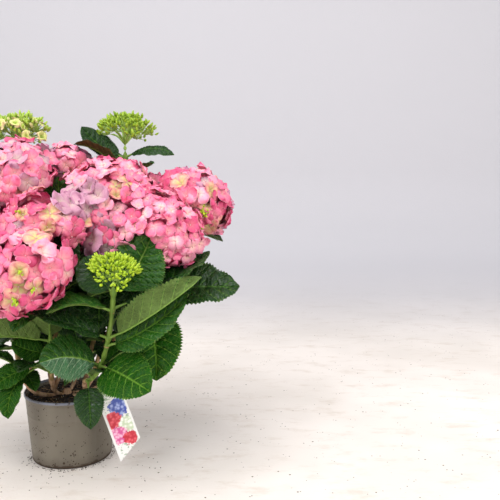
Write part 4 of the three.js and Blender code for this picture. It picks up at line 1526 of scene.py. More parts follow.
@dataclass
class Blossom:
    """The flower heads: florets of four or five sepals over a dense core."""

    growth: Growth
    groups: Groups
    crowd: float = 6.9
    rows: int = 6
    columns: int = 4
    shell: float = 0.3
    lowest: float = -0.62
    spin: float = 0.7
    depth: Numbers = (0.83, 0.96)
    toss: float = 0.24
    sizes: Numbers = (0.84, 1.14)
    fives: float = 0.22
    follow: float = 0.9
    finishes: tuple[PetalFinish, ...] = (
        PetalFinish("petal_light", (248, 204, 190), (244, 164, 186), (224, 104, 144)),
        PetalFinish("petal_mid", (243, 166, 170), (237, 126, 158), (212, 72, 120)),
        PetalFinish("petal_deep", (228, 126, 144), (220, 90, 132), (188, 46, 94)),
        PetalFinish("petal_lilac", (208, 184, 176), (200, 148, 168), (174, 104, 142)),
        PetalFinish("petal_cream", (196, 198, 122), (230, 192, 152), (214, 92, 122), 0.95, 0.14),
    )

    def shade_of(self, look: HeadLook, seat: Array, drawn: float) -> tuple[PetalShade, float]:
        """The tint and the sepals' length of a floret from its head and its place.

        Args:
            look: the head's look.
            seat: where it sits.
            drawn: a random number.

        Returns:
            The tint and the length.
        """
        for spot in SPOTS:
            if np.linalg.norm(seat - vec(spot.middle)) < spot.reach and drawn < self.follow:
                return spot.shade, spot.sepal or look.sepal
        sums = np.cumsum(look.weights)
        return list(PetalShade)[int(min(np.searchsorted(sums, drawn * sums[-1]), 4))], look.sepal

    def stands(self, shoot: Shoot, seat: Array) -> bool:
        """Whether a place is on the head's own side of every neighbour and clear of the hollows.

        Args:
            shoot: the shoot.
            seat: the place.

        Returns:
            True where it is.
        """
        if any(hollow.distance(seat) < hollow.reach for hollow in HOLLOWS):
            return False
        for other in (*SHOOTS, *BRIDGES):
            if other is shoot:
                continue
            away = seat - vec(other.head)
            mine = seat - vec(shoot.head)
            if away @ away - other.radius**2 < mine @ mine - shoot.radius**2:
                return False
        return True

    def sepals(self, seats: Array, normals: Array, leads: Array, sizes: Array, tilts: Array,
               forms: Array) -> Array:
        """The upper surfaces of sepals, one block of places for each.

        Args:
            seats: where the sepals are rooted.
            normals: where their florets face.
            leads: the direction in which each sepal spreads.
            sizes: their lengths.
            tilts: how steeply each rises, in radians.
            forms: by sepal, where its ruffle starts, how far it bends back, how far it is cupped and how
                pointed it is.

        Returns:
            Places by sepal, row and column.
        """
        s = 1 - (1 - np.linspace(0.0, 1, self.rows + 1)) ** 1.4
        s, t = np.meshgrid(s, np.linspace(-1, 1, self.columns + 1), indexing="ij")
        sides = np.cross(normals, leads)
        size, tilt, phase, bend, cup, point = (v[:, None, None] for v in (sizes, tilts, *forms.T))
        half = 0.84 * np.maximum(s, 0.02) ** 0.75 * np.maximum(0, 1 - s**3.2) ** point
        half = np.maximum(half, 0.02)
        ruffle = 0.075 * np.sin(t * 3.0 + phase) * s**2 + 0.06 * np.sin(t * 6.0 + phase * 2.7) * s**3
        rise = np.sin(tilt) * s - bend * s**2.2 + cup * t**2 * s + ruffle
        run = s * np.cos(tilt) * (1 - 0.06 * t**2)
        points = seats[:, None, None] + leads[:, None, None] * (run * size)[..., None]
        points = points + sides[:, None, None] * (t * half * size)[..., None]
        return points + normals[:, None, None] * (rise * size)[..., None]

    def open_florets(self, bags: dict[PetalShade, Bag], florets: list[Floret], eyes: Bag,
                     seed: int) -> None:
        """Adds florets of four sepals or, now and then, five.

        Args:
            bags: one for each tint.
            florets: what is added.
            eyes: the bag of their eyes.
            seed: where the random draws start.
        """
        rng = np.random.default_rng(seed)
        rows: dict[PetalShade, list[tuple]] = {shade: [] for shade in PetalShade}
        for floret in florets:
            count = 5 if rng.random() < self.fives else 4
            lead = unit(np.cross(floret.normal, vec(LEANING)))
            other = np.cross(floret.normal, lead)
            first = rng.random() * TURN
            opened = rng.uniform(*floret.steep)
            bent = rng.normal(0.36, 0.1)
            for k in range(count):
                angle = first + TURN * k / count + rng.normal() * 0.12
                out = lead * math.cos(angle) + other * math.sin(angle)
                base = floret.seat + floret.normal * 0.35 * (k % 2)
                form = (rng.random() * 6.28, bent + rng.normal() * 0.07, rng.normal(-0.2, 0.15),
                        rng.uniform(0.5, 0.95))
                size, tilt = floret.sepal * rng.uniform(0.88, 1.12), opened + rng.normal() * 0.12
                rows[floret.shade].append((base, floret.normal, out, size, tilt, form))
            bead(eyes, floret.seat + floret.normal * 0.9, floret.normal, 1.2, 1.5)
        inner = np.zeros((self.rows + 1, self.columns + 1))
        inner[1:-1, 1:-1] = self.shell
        u, v = shares(self.rows, self.columns)
        for shade, entries in rows.items():
            if not entries:
                continue
            seats, normals, leads, sizes, tilts, forms = (np.array(row, float) for row in zip(*entries))
            upper = self.sepals(seats, normals, leads, sizes, tilts, forms)
            lower = upper - normals[:, None, None] * inner[None, ..., None]
            for under, block in ((False, upper), (True, lower)):
                faces = grid_faces(self.rows, self.columns, flip=not under)
                starts = np.arange(len(entries)) * (self.rows + 1) * (self.columns + 1)
                every = (faces[None] + starts[:, None, None]).reshape(-1, 4)
                pattern = half_pattern(u, v, under).reshape(-1, 2)
                bags[shade].add(block, every, np.tile(pattern, (len(entries), 1)))

    def head(self, shoot: Shoot, index: int) -> list[Floret]:
        """The florets of one head.

        Args:
            shoot: the shoot.
            index: its number in the row of shoots.

        Returns:
            The florets that stand.
        """
        rng = np.random.default_rng(900 + index)
        turn = rotation_to(shoot.facing)
        look = HEAD_LOOKS.get(shoot.name, OTHER_LOOK)
        florets = []
        count = int(self.crowd * (shoot.radius / look.sepal) ** 2)
        for direction in spread_directions(count, self.lowest, self.spin * index):
            rise = self.growth.bloom_rise if direction[2] > 0 else self.growth.bloom_under
            out = shoot.radius * rng.uniform(*self.depth)
            seat = vec(shoot.head) + turn @ (direction * out * vec((1, 1, rise)))
            if not self.stands(shoot, seat):
                continue
            normal = unit(turn @ (direction * vec((1, 1, 1 / rise))) + rng.normal(size=3) * self.toss)
            shade, sepal = self.shade_of(look, seat, rng.random())
            florets.append(Floret(seat, normal, sepal * rng.uniform(*self.sizes), shade))
        return florets

    def core(self, bag: Bag, shoot: Shoot) -> None:
        """Adds the dense inside of a head, seen only between florets.

        Args:
            bag: where its faces go.
            shoot: the shoot.
        """
        lat, lon = np.meshgrid(np.linspace(0, math.pi, 15), np.linspace(0, TURN, 25), indexing="ij")
        ball = np.stack([np.sin(lat) * np.cos(lon), np.sin(lat) * np.sin(lon), np.cos(lat)], axis=-1)
        rise = np.where(ball[..., 2] > 0, self.growth.bloom_rise, self.growth.bloom_under)
        bumps = 0.75 + 0.03 * np.sin(lat * 9 + 1) * np.sin(lon * 7)
        scaled = ball * np.stack([bumps, bumps, bumps * rise], axis=-1) * shoot.radius
        away = scaled @ rotation_to(shoot.facing).T
        for hollow in HOLLOWS:
            gap = hollow.distance(away + vec(shoot.head))
            away = away * (1 - 0.5 * np.clip(1.3 - gap / hollow.reach, 0, 1))[..., None]
        points = away + vec(shoot.head)
        pattern = np.stack([lat / math.pi, lon / TURN], axis=-1)
        bag.add(points, grid_faces(14, 24, flip=True), pattern)

    def rays(self, bag: Bag, shoot: Shoot) -> None:
        """Adds the pedicels that carry the head's lower florets.

        Args:
            bag: where its faces go.
            shoot: the shoot.
        """
        foot = self.growth.head_foot(shoot)
        turn = rotation_to(shoot.facing)
        for direction in spread_directions(40, -0.8)[14:]:
            reach = shoot.radius * vec((0.8, 0.8, self.growth.bloom_under * 0.8))
            end = vec(shoot.head) + turn @ (direction * reach)
            way = Curve(foot, foot + shoot.axis() * 12 + (end - foot) * 0.25, end)
            tube(bag, way.at(np.linspace(0, 1, 7)), np.linspace(1.5, 0.7, 7), 6)

    def build(self) -> None:
        """Makes the florets of every head, one piece for each tint, with the cores and the pedicels."""
        bags = {shade: Bag() for shade in PetalShade}
        nodes: dict[PetalShade, set[str]] = {shade: set() for shade in PetalShade}
        eyes, cores, rays = Bag(), Bag(), Bag()
        for index, shoot in enumerate((*BLOOMS, *BRIDGES)):
            florets = self.head(shoot, index)
            self.open_florets(bags, florets, eyes, 40 + index)
            for floret in florets:
                nodes[floret.shade].add(f"bloom_{shoot.name}")
            if index < len(BLOOMS):
                self.core(cores, shoot)
                self.rays(rays, shoot)
        for shade, finish in zip(PetalShade, self.finishes):
            name, material = f"florets_{shade.value}", finish.material(self.groups)
            bags[shade].pieces(name, material, "blossom", sorted(nodes[shade]))
        every = node_names("bloom", BLOOM)
        eye = PlainFinish("floret_eye", (236, 206, 196), (214, 150, 168), 0.6)
        deep = PlainFinish("head_core", (236, 130, 162), (204, 92, 130), 0.8, 120.0)
        ray = PlainFinish("pedicel", (150, 168, 92), (190, 130, 120), 0.6, 60.0)
        eyes.pieces("floret_eyes", eye.material(self.groups), "blossom", every)
        cores.pieces("head_cores", deep.material(self.groups), "blossom", every)
        rays.pieces("pedicels", ray.material(self.groups), "leaf", every)


def bead(bag: Bag, middle: Array, axis: Array, radius: float, length: float, point: float = 0.0,
         coarse: bool = False) -> None:
    """Adds a small egg shape.

    Args:
        bag: where its faces go.
        middle: its middle.
        axis: the direction of its long axis.
        radius: half its width.
        length: half its length.
        point: how far its outer end is drawn to a point.
        coarse: whether few faces will do.
    """
    sides, rings = (5, 3) if coarse or point == 0 else (6, 6)
    lat = np.linspace(0, math.pi, rings + 1)
    lon = np.linspace(0, TURN, sides + 1)
    lead = unit(np.cross(axis, vec(LEANING)))
    other = np.cross(axis, lead)
    flat = np.sin(lat) * (1 - point * 0.42 * (1 + np.cos(lat)))
    ring = lead * np.cos(lon)[:, None] + other * np.sin(lon)[:, None]
    out = ring[None] * (flat * radius)[:, None, None]
    points = middle + out + axis * (np.cos(lat) * length)[:, None, None]
    pattern = np.stack(np.meshgrid(lat / math.pi, lon / TURN, indexing="ij"), axis=-1)
    bag.add(points, grid_faces(rings, sides, flip=True), pattern)


def crumb(bag: Bag, rng: np.random.Generator, middle: Array, size: float, flat: float) -> None:
    """Adds one crumb of soil, lying the flatter the smaller flat is."""
    axis = unit(rng.normal(size=3) * vec((1, 1, flat)))
    bead(bag, middle, axis, size * 0.6, size, rng.uniform(0.1, 0.7), True)


@dataclass
class Buds:
    """The clusters of closed buds on their green rays, and the few that show among the florets."""

    growth: Growth
    groups: Groups
    blossom: Blossom
    tufts: int = 12
    tuft_share: float = 0.23
    per_tuft: int = 20
    full_radius: float = 54
    lime_spread: float = 0.85
    opening: dict[str, float] = field(default_factory=lambda: {"young_top_left": 0.12, "young_back": 0.12})
    largest: tuple[tuple[Numbers, Numbers, float], ...] = (
        ((-90, 14, 474), (-0.2, -0.85, 0.5), 16.5), ((-38, 22, 459), (0.75, -0.6, 0.25), 16.0),
        ((-70, 16, 478), (0.1, -0.75, 0.65), 11.5), ((-54, 12, 461), (0.3, -0.9, 0.2), 12.0),
        ((-112, 22, 464), (-0.5, -0.8, 0.3), 14.0), ((-100, 92, 472), (-0.3, 0.85, 0.4), 14.0),
        ((-60, 96, 466), (0.3, 0.85, 0.4), 13.0),
    )

    def seats(self, shoot: Shoot, index: int) -> tuple[Array, list[Array]]:
        """Where a cluster's rays part and where its tufts stand.

        Args:
            shoot: the shoot.
            index: its number in the row of shoots.

        Returns:
            The fork and the seats.
        """
        dice = Dice(7001 + 53 * index)
        turn = rotation_to(shoot.facing)
        stalk = self.growth.bud_stalk * shoot.radius
        fork = self.growth.head_foot(shoot) + shoot.axis() * stalk * 0.25
        found = []
        for i in range(self.tufts):
            share = math.sqrt((i + 0.5) / self.tufts)
            flat = share * (shoot.radius - self.tuft_share * shoot.radius * 0.7)
            crown = self.growth.bud_rise * (1 - share * share) - 0.08
            rise = shoot.radius * crown + (dice.roll() - 0.5) * 3
            dice.roll()
            local = vec((flat * math.cos(i * GOLDEN), flat * math.sin(i * GOLDEN), rise))
            found.append(vec(shoot.head) + turn @ local)
        return fork, found

    def tuft(self, shoot: Shoot, fork: Array, seat: Array, rng: np.random.Generator, buds: Bag,
             rays: Bag) -> list[Floret]:
        """Adds one tuft of buds on its ray and gives the florets that are open in it.

        Args:
            shoot: the shoot.
            fork: where the rays part.
            seat: where it sits.
            rng: the random draws.
            buds: the bag of the buds.
            rays: the bag of the rays.

        Returns:
            The open florets.
        """
        facing, outward = shoot.axis(), unit(seat - fork)
        scale = shoot.radius / self.full_radius
        part = fork + (seat - fork) * 0.66
        bent = fork + facing * float(np.linalg.norm(part - fork)) * 0.35 + (part - fork) * 0.4
        tube(rays, Curve(fork, bent, part).at(np.linspace(0, 1, 6)), np.linspace(1.9, 1.3, 6) * scale, 6)
        local = rotation_to(outward)
        radius = self.tuft_share * shoot.radius
        florets = []
        for direction in spread_directions(self.per_tuft, -0.1):
            jitter = rng.normal(size=3) * 0.22
            end = seat + local @ ((direction + jitter) * vec((radius, radius, radius * 0.55)))
            end = end - outward * radius * 0.4
            way = np.stack([part, (part + end) / 2 - outward * 0.8, end])
            tube(rays, way, np.array([1.0, 0.85, 0.75]) * scale, 4)
            axis = unit(outward * 0.7 + facing * 0.3 + unit(end - part) * 0.7 + rng.normal(size=3) * 0.5)
            if rng.random() < self.opening.get(shoot.name, 0.0):
                florets.append(Floret(end, axis, rng.uniform(6.0, 9.5), PetalShade.LIGHT, (0.75, 1.3)))
            else:
                size = rng.uniform(0.75, 1.25) * scale**0.5
                bead(buds, end + axis * 2.2 * size, axis, 2.5 * size, 4.2 * size, 0.6)
        return florets

    def cluster(self, shoot: Shoot, index: int, buds: Bag, rays: Bag) -> list[Floret]:
        """Adds one cluster and gives the few florets that are open in it.

        Args:
            shoot: the shoot.
            index: its number in the row of shoots.
            buds: the bag of the buds.
            rays: the bag of the rays.

        Returns:
            The open florets.
        """
        rng = np.random.default_rng(60 + index)
        fork, seats = self.seats(shoot, index)
        facing = shoot.axis()
        foot = self.growth.head_foot(shoot)
        tube(rays, np.stack([foot, (foot + fork) / 2, fork + facing * 1.5]), np.array([3.1, 2.9, 2.2]), 8)
        florets = []
        for seat in seats:
            florets += self.tuft(shoot, fork, seat, rng, buds, rays)
        for place, out, sepal in self.largest if shoot.name == "young_top_left" else ():
            seat, axis = vec(place), unit(vec(out))
            way = Curve(fork, (fork + seat) / 2 + facing * 8, seat)
            tube(rays, way.at(np.linspace(0, 1, 7)), np.full(7, 1.1), 6)
            florets.append(Floret(seat, axis, sepal, PetalShade.LIGHT, (0.8, 1.15)))
        return florets

    def scattered(self, buds: Bag) -> None:
        """Adds the buds that show among open florets.

        Args:
            buds: the bag of the buds.
        """
        rng = np.random.default_rng(5)
        for spot in SPOTS:
            middle = vec(spot.middle)
            nearest = min(BLOOMS, key=lambda shoot: np.linalg.norm(vec(shoot.head) - middle))
            outward = unit(middle - vec(nearest.head))
            surface = vec(nearest.head) + outward * nearest.radius
            spread = self.lime_spread * math.sqrt(spot.limes)
            for _ in range(spot.limes):
                place = surface + rng.normal(size=3) * spread + outward * (spread - 3.0)
                bead(buds, place, unit(outward + rng.normal(size=3) * 0.3), 1.8, 3.0, 0.6)

    def build(self) -> None:
        """Makes the buds, their rays and the open florets among them."""
        buds, pale, high, rays, eyes = Bag(), Bag(), Bag(), Bag(), Bag()
        opened = Bag()
        bags = {shade: opened for shade in PetalShade}
        for index, shoot in enumerate(SHOOTS):
            if shoot.kind is BUD:
                # The top right cluster gets a darker copy of the bud colour, painted shade.
                lower = high if shoot.name == "young_top_right" else buds
                own = pale if shoot.name in self.opening else lower
                self.blossom.open_florets(bags, self.cluster(shoot, index, own, rays), eyes, 77 + index)
        self.scattered(buds)
        opening = [f"bud_{name}" for name in self.opening]
        lime = PlainFinish("bud_lime", (192, 212, 46), (132, 170, 24), 0.5, 500.0)
        light = PlainFinish("bud_pale", (184, 206, 84), (134, 172, 48), 0.5, 500.0)
        # A darker copy of the lime buds' colour: painted shade for the top right cluster.
        green = PlainFinish("bud_green", (170, 194, 50), (108, 146, 26), 0.55, 500.0)
        ray = PlainFinish("bud_ray", (180, 206, 112), (134, 170, 62), 0.5, 200.0)
        buds.pieces("closed_buds", lime.material(self.groups), "bud", ["bud_young_front"])
        pale.pieces("pale_buds", light.material(self.groups), "bud", opening)
        high.pieces("high_buds", green.material(self.groups), "bud", ["bud_young_top_right"])
        rays.pieces("bud_rays", ray.material(self.groups), "bud", node_names("bud", BUD))
        petal = PetalFinish("petal_opening", (158, 190, 76), (198, 214, 122), (226, 178, 152))
        opened.pieces("opening_florets", petal.material(self.groups), "bud", opening)


@dataclass
class Pot:
    """The round nursery pot with its rolled lip."""

    groups: Groups
    segments: int = 144

    def profile(self) -> list[tuple[float, float]]:
        """Radius and height of the wall, from the underside out, up and back in.

        Returns:
            One pair for each corner.
        """
        lip_foot = POT.height - POT.lip
        band = POT.height * 0.7
        row = [(0.0, 0.0), (50.0, 0.0), (POT.base - 1.6, 0.0), (POT.base - 0.5, 0.5), (POT.base, 1.6)]
        row += [(POT.radius(h), h) for h in np.linspace(4, band - 0.6, 10)]
        row += [(POT.radius(band) + 0.3, band), (POT.radius(band) + 0.3, band + 0.8)]
        row += [(POT.radius(h), h) for h in np.linspace(band + 1.4, lip_foot - 0.3, 5)]
        row += [(POT.rim - 0.5, lip_foot + 0.3), (POT.rim, lip_foot + 1.2), (POT.rim, POT.height - 1)]
        row += [(POT.rim - 0.3, POT.height - 0.3), (POT.rim - 0.9, POT.height)]
        row += [(POT.rim - 2.3, POT.height), (POT.rim - 3.0, POT.height - 0.8)]
        row += [(POT.radius(h) - POT.wall, h) for h in (POT.height - 6, 60, 30, POT.floor)]
        return [*row, (0.0, POT.floor)]

    def material(self) -> Material:
        """Taupe plastic with a painted bluish reflection along the lip, scuffs, streaks and dirt at the foot.

        Returns:
            The material.
        """
        graph = Shader("pot_plastic", Specular_IOR_Level=0.4)
        place = graph.place()
        height = graph.parts(place)[2]
        base = self.groups.use(graph, self.groups.mottle, place=graph.scaled(place, (1, 1, 0.5)), scale=16.0,
                               first=colour(118, 111, 98), second=colour(104, 97, 85), amount=0.9)["Colour"]
        streak = graph.ramp(graph.noise(graph.scaled(place, (1, 1, 0.06)), 90.0), 0.55, 0.75)
        base = graph.mix(graph.times(streak, 0.1), base, colour(146, 140, 126))
        # Painted bluish reflection in a thin band along the lip.
        lip = graph.ramp(height, 0.0945, 0.0955)
        base = graph.mix(graph.times(lip, 0.8), base, colour(122, 126, 142))
        low = graph.ramp(height, 0.0, 0.05, 0.36, 0.17)
        dirt = self.groups.use(graph, self.groups.specks, place=place, scale=115.0, share=low)["Mask"]
        fine = self.groups.use(graph, self.groups.specks, place=place, scale=330.0, share=0.42)["Mask"]
        ragged = graph.math("MULTIPLY_ADD", graph.noise(place, 75.0, 4.0), -0.016, height)
        foot = graph.ramp(ragged, -0.005, -0.001, 1.0, 0.0)
        film = graph.times(graph.ramp(ragged, -0.004, 0.012, 1.0, 0.0), 0.35)
        foot = graph.most(graph.times(foot, 0.95), film)
        soil = graph.most(graph.most(dirt, fine), foot)
        base = graph.mix(soil, base, colour(62, 48, 36))
        rough = graph.plus(graph.times(soil, 0.3), 0.5)
        relief = graph.plus(soil, graph.times(graph.noise(place, 700.0), 0.25))
        return graph.finish(base, rough, relief, 0.0004)

    def build(self) -> None:
        """Makes the pot."""
        row = np.array(self.profile())
        angle = np.linspace(0, TURN, self.segments + 1)
        points = np.stack([row[:, :1] * np.cos(angle), row[:, :1] * np.sin(angle),
                           np.repeat(row[:, 1:], self.segments + 1, axis=1)], axis=-1)
        points[:, -1] = points[:, 0]
        run = np.concatenate([[0], np.cumsum(np.linalg.norm(np.diff(row, axis=0), axis=1))])
        pattern = np.stack(np.meshgrid(run / run[-1], angle / TURN, indexing="ij"), axis=-1)
        bag = Bag()
        bag.add(points, grid_faces(len(row) - 1, self.segments), pattern)
        bag.pieces("nursery_pot", self.material(), "pot", ["pot"])


@dataclass
class Soil:
    """Crumbly compost with chips, fibres and white grains."""

    groups: Groups
    chips: int = 760
    fibres: int = 110
    grains: int = 46
    on_rim: int = 90
    edge: float = 60.2
    rings: int = 46
    sides: int = 120
    strewn: float = 58
    laid: float = 54
    inside: float = 59

    @staticmethod
    def level(x: float, y: float) -> float:
        """The height of the surface."""
        rough = noise.fractal(Vector((x * 0.09, y * 0.09, 3.1)), 0.9, 2.1, 4)
        return SOIL_TOP + 2.5 + (SOIL_MOUND - 0.5) * (1 - (math.hypot(x, y) / 60) ** 2) + 1.8 * rough

    def bed(self) -> Bag:
        """The surface and the plug of soil below it.

        Returns:
            Its faces.
        """
        bag = Bag()
        radii = np.concatenate([np.linspace(0, self.edge, self.rings), [60.0, 54.6, 0.0]])
        below = (SOIL_TOP - 6, POT.floor + 0.4, POT.floor + 0.4)
        angle = np.linspace(0, TURN, self.sides + 1)
        points = np.zeros((len(radii), len(angle), 3))
        for i, radius in enumerate(radii):
            for j, turn in enumerate(angle[:-1]):
                x, y = radius * math.cos(turn), radius * math.sin(turn)
                points[i, j] = (x, y, self.level(x, y) if i < self.rings else below[i - self.rings])
        points[:, -1] = points[:, 0]
        pattern = points[..., :2] / 130 + 0.5
        bag.add(points, grid_faces(len(radii) - 1, self.sides, flip=True), pattern)
        return bag

    def scatter(self, count: int, seed: int, low: float, high: float, flat: float) -> Bag:
        """Small angular lumps strewn over the surface.

        Args:
            count: how many.
            seed: where the random draws start.
            low: the least size.
            high: the largest size.
            flat: how far they may stand up.

        Returns:
            Their faces.
        """
        rng = np.random.default_rng(seed)
        bag = Bag()
        for _ in range(count):
            radius, turn = self.strewn * math.sqrt(rng.random()), rng.random() * TURN
            x, y = radius * math.cos(turn), radius * math.sin(turn)
            size = rng.uniform(low, high)
            axis = unit(rng.normal(size=3) * vec((1, 1, flat)))
            middle = vec((x, y, self.level(x, y) + size * 0.25))
            bead(bag, middle, axis, size * rng.uniform(0.4, 0.8), size, rng.uniform(0.1, 0.7), True)
        return bag

    def crumbs(self) -> Bag:
        """Crumbs that lie on the pot's lip, most of them at the left.

        Returns:
            Their faces.
        """
        rng = np.random.default_rng(23)
        bag = Bag()
        for _ in range(self.on_rim):
            turn, radius = math.radians(rng.normal(205, 32)), rng.uniform(60.5, 64)
            size = rng.uniform(0.5, 1.5)
            middle = vec((radius * math.cos(turn), radius * math.sin(turn), POT.height + size * 0.35))
            crumb(bag, rng, middle, size, 0.3)
        return bag

    def strands(self) -> Bag:
        """Thin bent fibres that lie on the surface.

        Returns:
            Their faces.
        """
        rng = np.random.default_rng(31)
        bag = Bag()
        for _ in range(self.fibres):
            radius, turn = self.laid * math.sqrt(rng.random()), rng.random() * TURN
            heading, span = rng.random() * TURN, rng.uniform(5, 15)
            places = []
            for step in np.linspace(-0.5, 0.5, 7):
                bend = heading + step * rng.uniform(0.2, 0.9)
                x = radius * math.cos(turn) + math.cos(bend) * step * span
                y = radius * math.sin(turn) + math.sin(bend) * step * span
                short = min(1.0, self.inside / max(math.hypot(x, y), 1e-6))
                places.append((x * short, y * short, self.level(x * short, y * short) + 0.7))
            tube(bag, np.array(places), np.full(7, rng.uniform(0.25, 0.55)), 5)
        return bag

    def build(self) -> None:
        """Makes the bed and what lies on it."""
        bed = PlainFinish("soil_bed", (32, 24, 18), (14, 10, 8), 0.92, 260.0, 0.0012)
        chip = PlainFinish("soil_chip", (80, 60, 42), (28, 20, 14), 0.9, 150.0)
        fibre = PlainFinish("soil_fibre", (166, 136, 98), (118, 90, 62), 0.8, 150.0)
        grain = PlainFinish("soil_grain", (226, 222, 210), (186, 180, 166), 0.8, 400.0)
        self.bed().pieces("soil_bed", bed.material(self.groups), "soil", ["soil"])
        chips = self.scatter(self.chips, 21, 0.7, 2.6, 0.4)
        chips.pieces("soil_chips", chip.material(self.groups), "soil", ["soil"])
        self.crumbs().pieces("rim_crumbs", chip.material(self.groups), "soil", ["soil"])
        self.strands().pieces("soil_fibres", fibre.material(self.groups), "soil", ["soil"])
        grains = self.scatter(self.grains, 22, 0.5, 1.2, 1.0)
        grains.pieces("soil_grains", grain.material(self.groups), "soil", ["soil"])


@dataclass
class Label:
    """The plant label: a glossy card with slanted ends on a bent neck."""

    groups: Groups
    thick: float = 1.2
    bow: float = 0.4
    corner: Numbers = (82.5, -62, 14)
    long_side: Numbers = (-35, 0, 102)
    short_side: Numbers = (33, 12, 5)
    length: float = 108
    shoulder: float = 78
    heel: float = 20
    width: float = 36
    neck_width: float = 9
    neck_foot: Numbers = (35, -42, 86)
    neck_bend: Numbers = (37, -45, 108)
    rows: int = 40
    columns: int = 14
    tufts: tuple[tuple[float, float, float, Numbers, Numbers], ...] = (
        (0.2, 0.66, 0.17, (58, 80, 168), (170, 184, 232)), (0.09, 0.52, 0.16, (196, 26, 50), (232, 92, 104)),
        (0.23, 0.42, 0.15, (200, 214, 180), (250, 250, 242)),
        (0.1, 0.32, 0.16, (214, 84, 148), (246, 186, 212)), (0.22, 0.24, 0.14, (196, 26, 50), (232, 92, 104)),
    )

    def axes(self) -> tuple[Array, Array, Array]:
        """Across the card, along it and out of its face.

        Returns:
            Three unit vectors.
        """
        long = unit(vec(self.long_side))
        normal = unit(np.cross(vec(self.short_side), long))
        return np.cross(long, normal), long, normal

    def sheet(self, bag: Bag) -> None:
        """Adds the card with its slightly rounded edges.

        Args:
            bag: where its faces go.
        """
        wide, long, normal = self.axes()
        s, t = shares(self.rows, self.columns)
        low = t * self.heel
        slant = np.clip((t * self.width - self.neck_width) / (self.width - self.neck_width), 0, 1)
        high = self.length - (self.length - self.shoulder) * slant
        along = low + (high - low) * s
        centre = vec(self.corner) + wide * (t * self.width)[..., None] + long * along[..., None]
        rim = np.minimum(np.minimum(s, 1 - s) * self.rows, np.minimum(t, 1 - t) * self.columns)
        half = np.where(rim < 0.5, 0.0, self.thick / 2)
        bow = self.bow * np.sin(math.pi * t)
        pattern = np.stack([t * self.width, along], axis=-1) / 110
        for side in (1, -1):
            points = centre + normal * (self.thick / 2 + side * half + bow)[..., None]
            shown = pattern if side > 0 else pattern + vec((0.5, 0))
            bag.add(points, grid_faces(self.rows, self.columns, flip=side < 0), shown)

    def neck(self, bag: Bag) -> None:
        """Adds the strip that carries the card over the pot's rim into the soil.

        Args:
            bag: where its faces go.
        """
        wide, long, normal = self.axes()
        top = vec(self.corner) + long * (self.length - 3) + wide * self.neck_width / 2
        top = top + normal * self.thick / 2
        way = Curve(vec(self.neck_foot), vec(self.neck_bend), top)
        share = np.linspace(0, 1, 25)
        out = unit(np.cross(wide, way.tangent(share)))
        row = [(-1, 0), (-0.9, 1), (0, 1), (0.9, 1), (1, 0), (0.9, -1), (0, -1), (-0.9, -1), (-1, 0)]
        ring = np.array(row) * vec((self.neck_width / 2, self.thick / 2))
        points = way.at(share)[:, None] + wide * ring[None, :, :1] + out[:, None] * ring[None, :, 1:]
        pattern = np.broadcast_to(vec((0.36, 0.99)), (25, 9, 2))
        bag.add(points, grid_faces(24, 8), pattern)

    def material(self) -> Material:
        """White card with printed tufts of petals in several colours among green.

        Returns:
            The material.
        """
        graph = Shader("label_card", Specular_IOR_Level=0.5, Coat_Weight=0.3)
        pattern = graph.pattern()
        across, along, _ = graph.parts(pattern)
        petals = graph.ramp(graph.cells(pattern, 26.0, "F1"), 0.15, 0.75)
        base = colour(238, 237, 234)
        leafy = graph.ramp(graph.noise(pattern, 24.0), 0.54, 0.62)
        inside = graph.times(graph.ramp(across, 0.02, 0.04), graph.ramp(across, 0.29, 0.31, 1.0, 0.0))
        inside = graph.times(inside, graph.ramp(along, 0.9, 0.93, 1.0, 0.0))
        green = graph.times(leafy, graph.times(inside, 0.7))
        base = graph.mix(green, base, colour(96, 142, 84))
        for x, y, radius, deep, pale in self.tufts:
            gaps = [graph.math("SUBTRACT", *pair) for pair in ((across, x), (along, y))]
            square = graph.plus(*(graph.math("POWER", graph.math("ABSOLUTE", gap), 2.0) for gap in gaps))
            ragged = graph.plus(graph.math("SQRT", square), graph.times(graph.noise(pattern, 30.0), 0.11))
            mask = graph.times(graph.ramp(ragged, radius, radius + 0.012, 1.0, 0.0), inside)
            base = graph.mix(mask, base, graph.mix(petals, colour(*pale), colour(*deep)))
        rough = graph.ramp(graph.noise(pattern, 60.0), 0.3, 0.7, 0.28, 0.36)
        return graph.finish(base, rough, graph.noise(pattern, 30.0), 0.0001)

    def build(self) -> None:
        """Makes the label."""
        bag = Bag()
        self.sheet(bag)
        self.neck(bag)
        bag.pieces("plant_label", self.material(), "tag", ["plant_tag"])


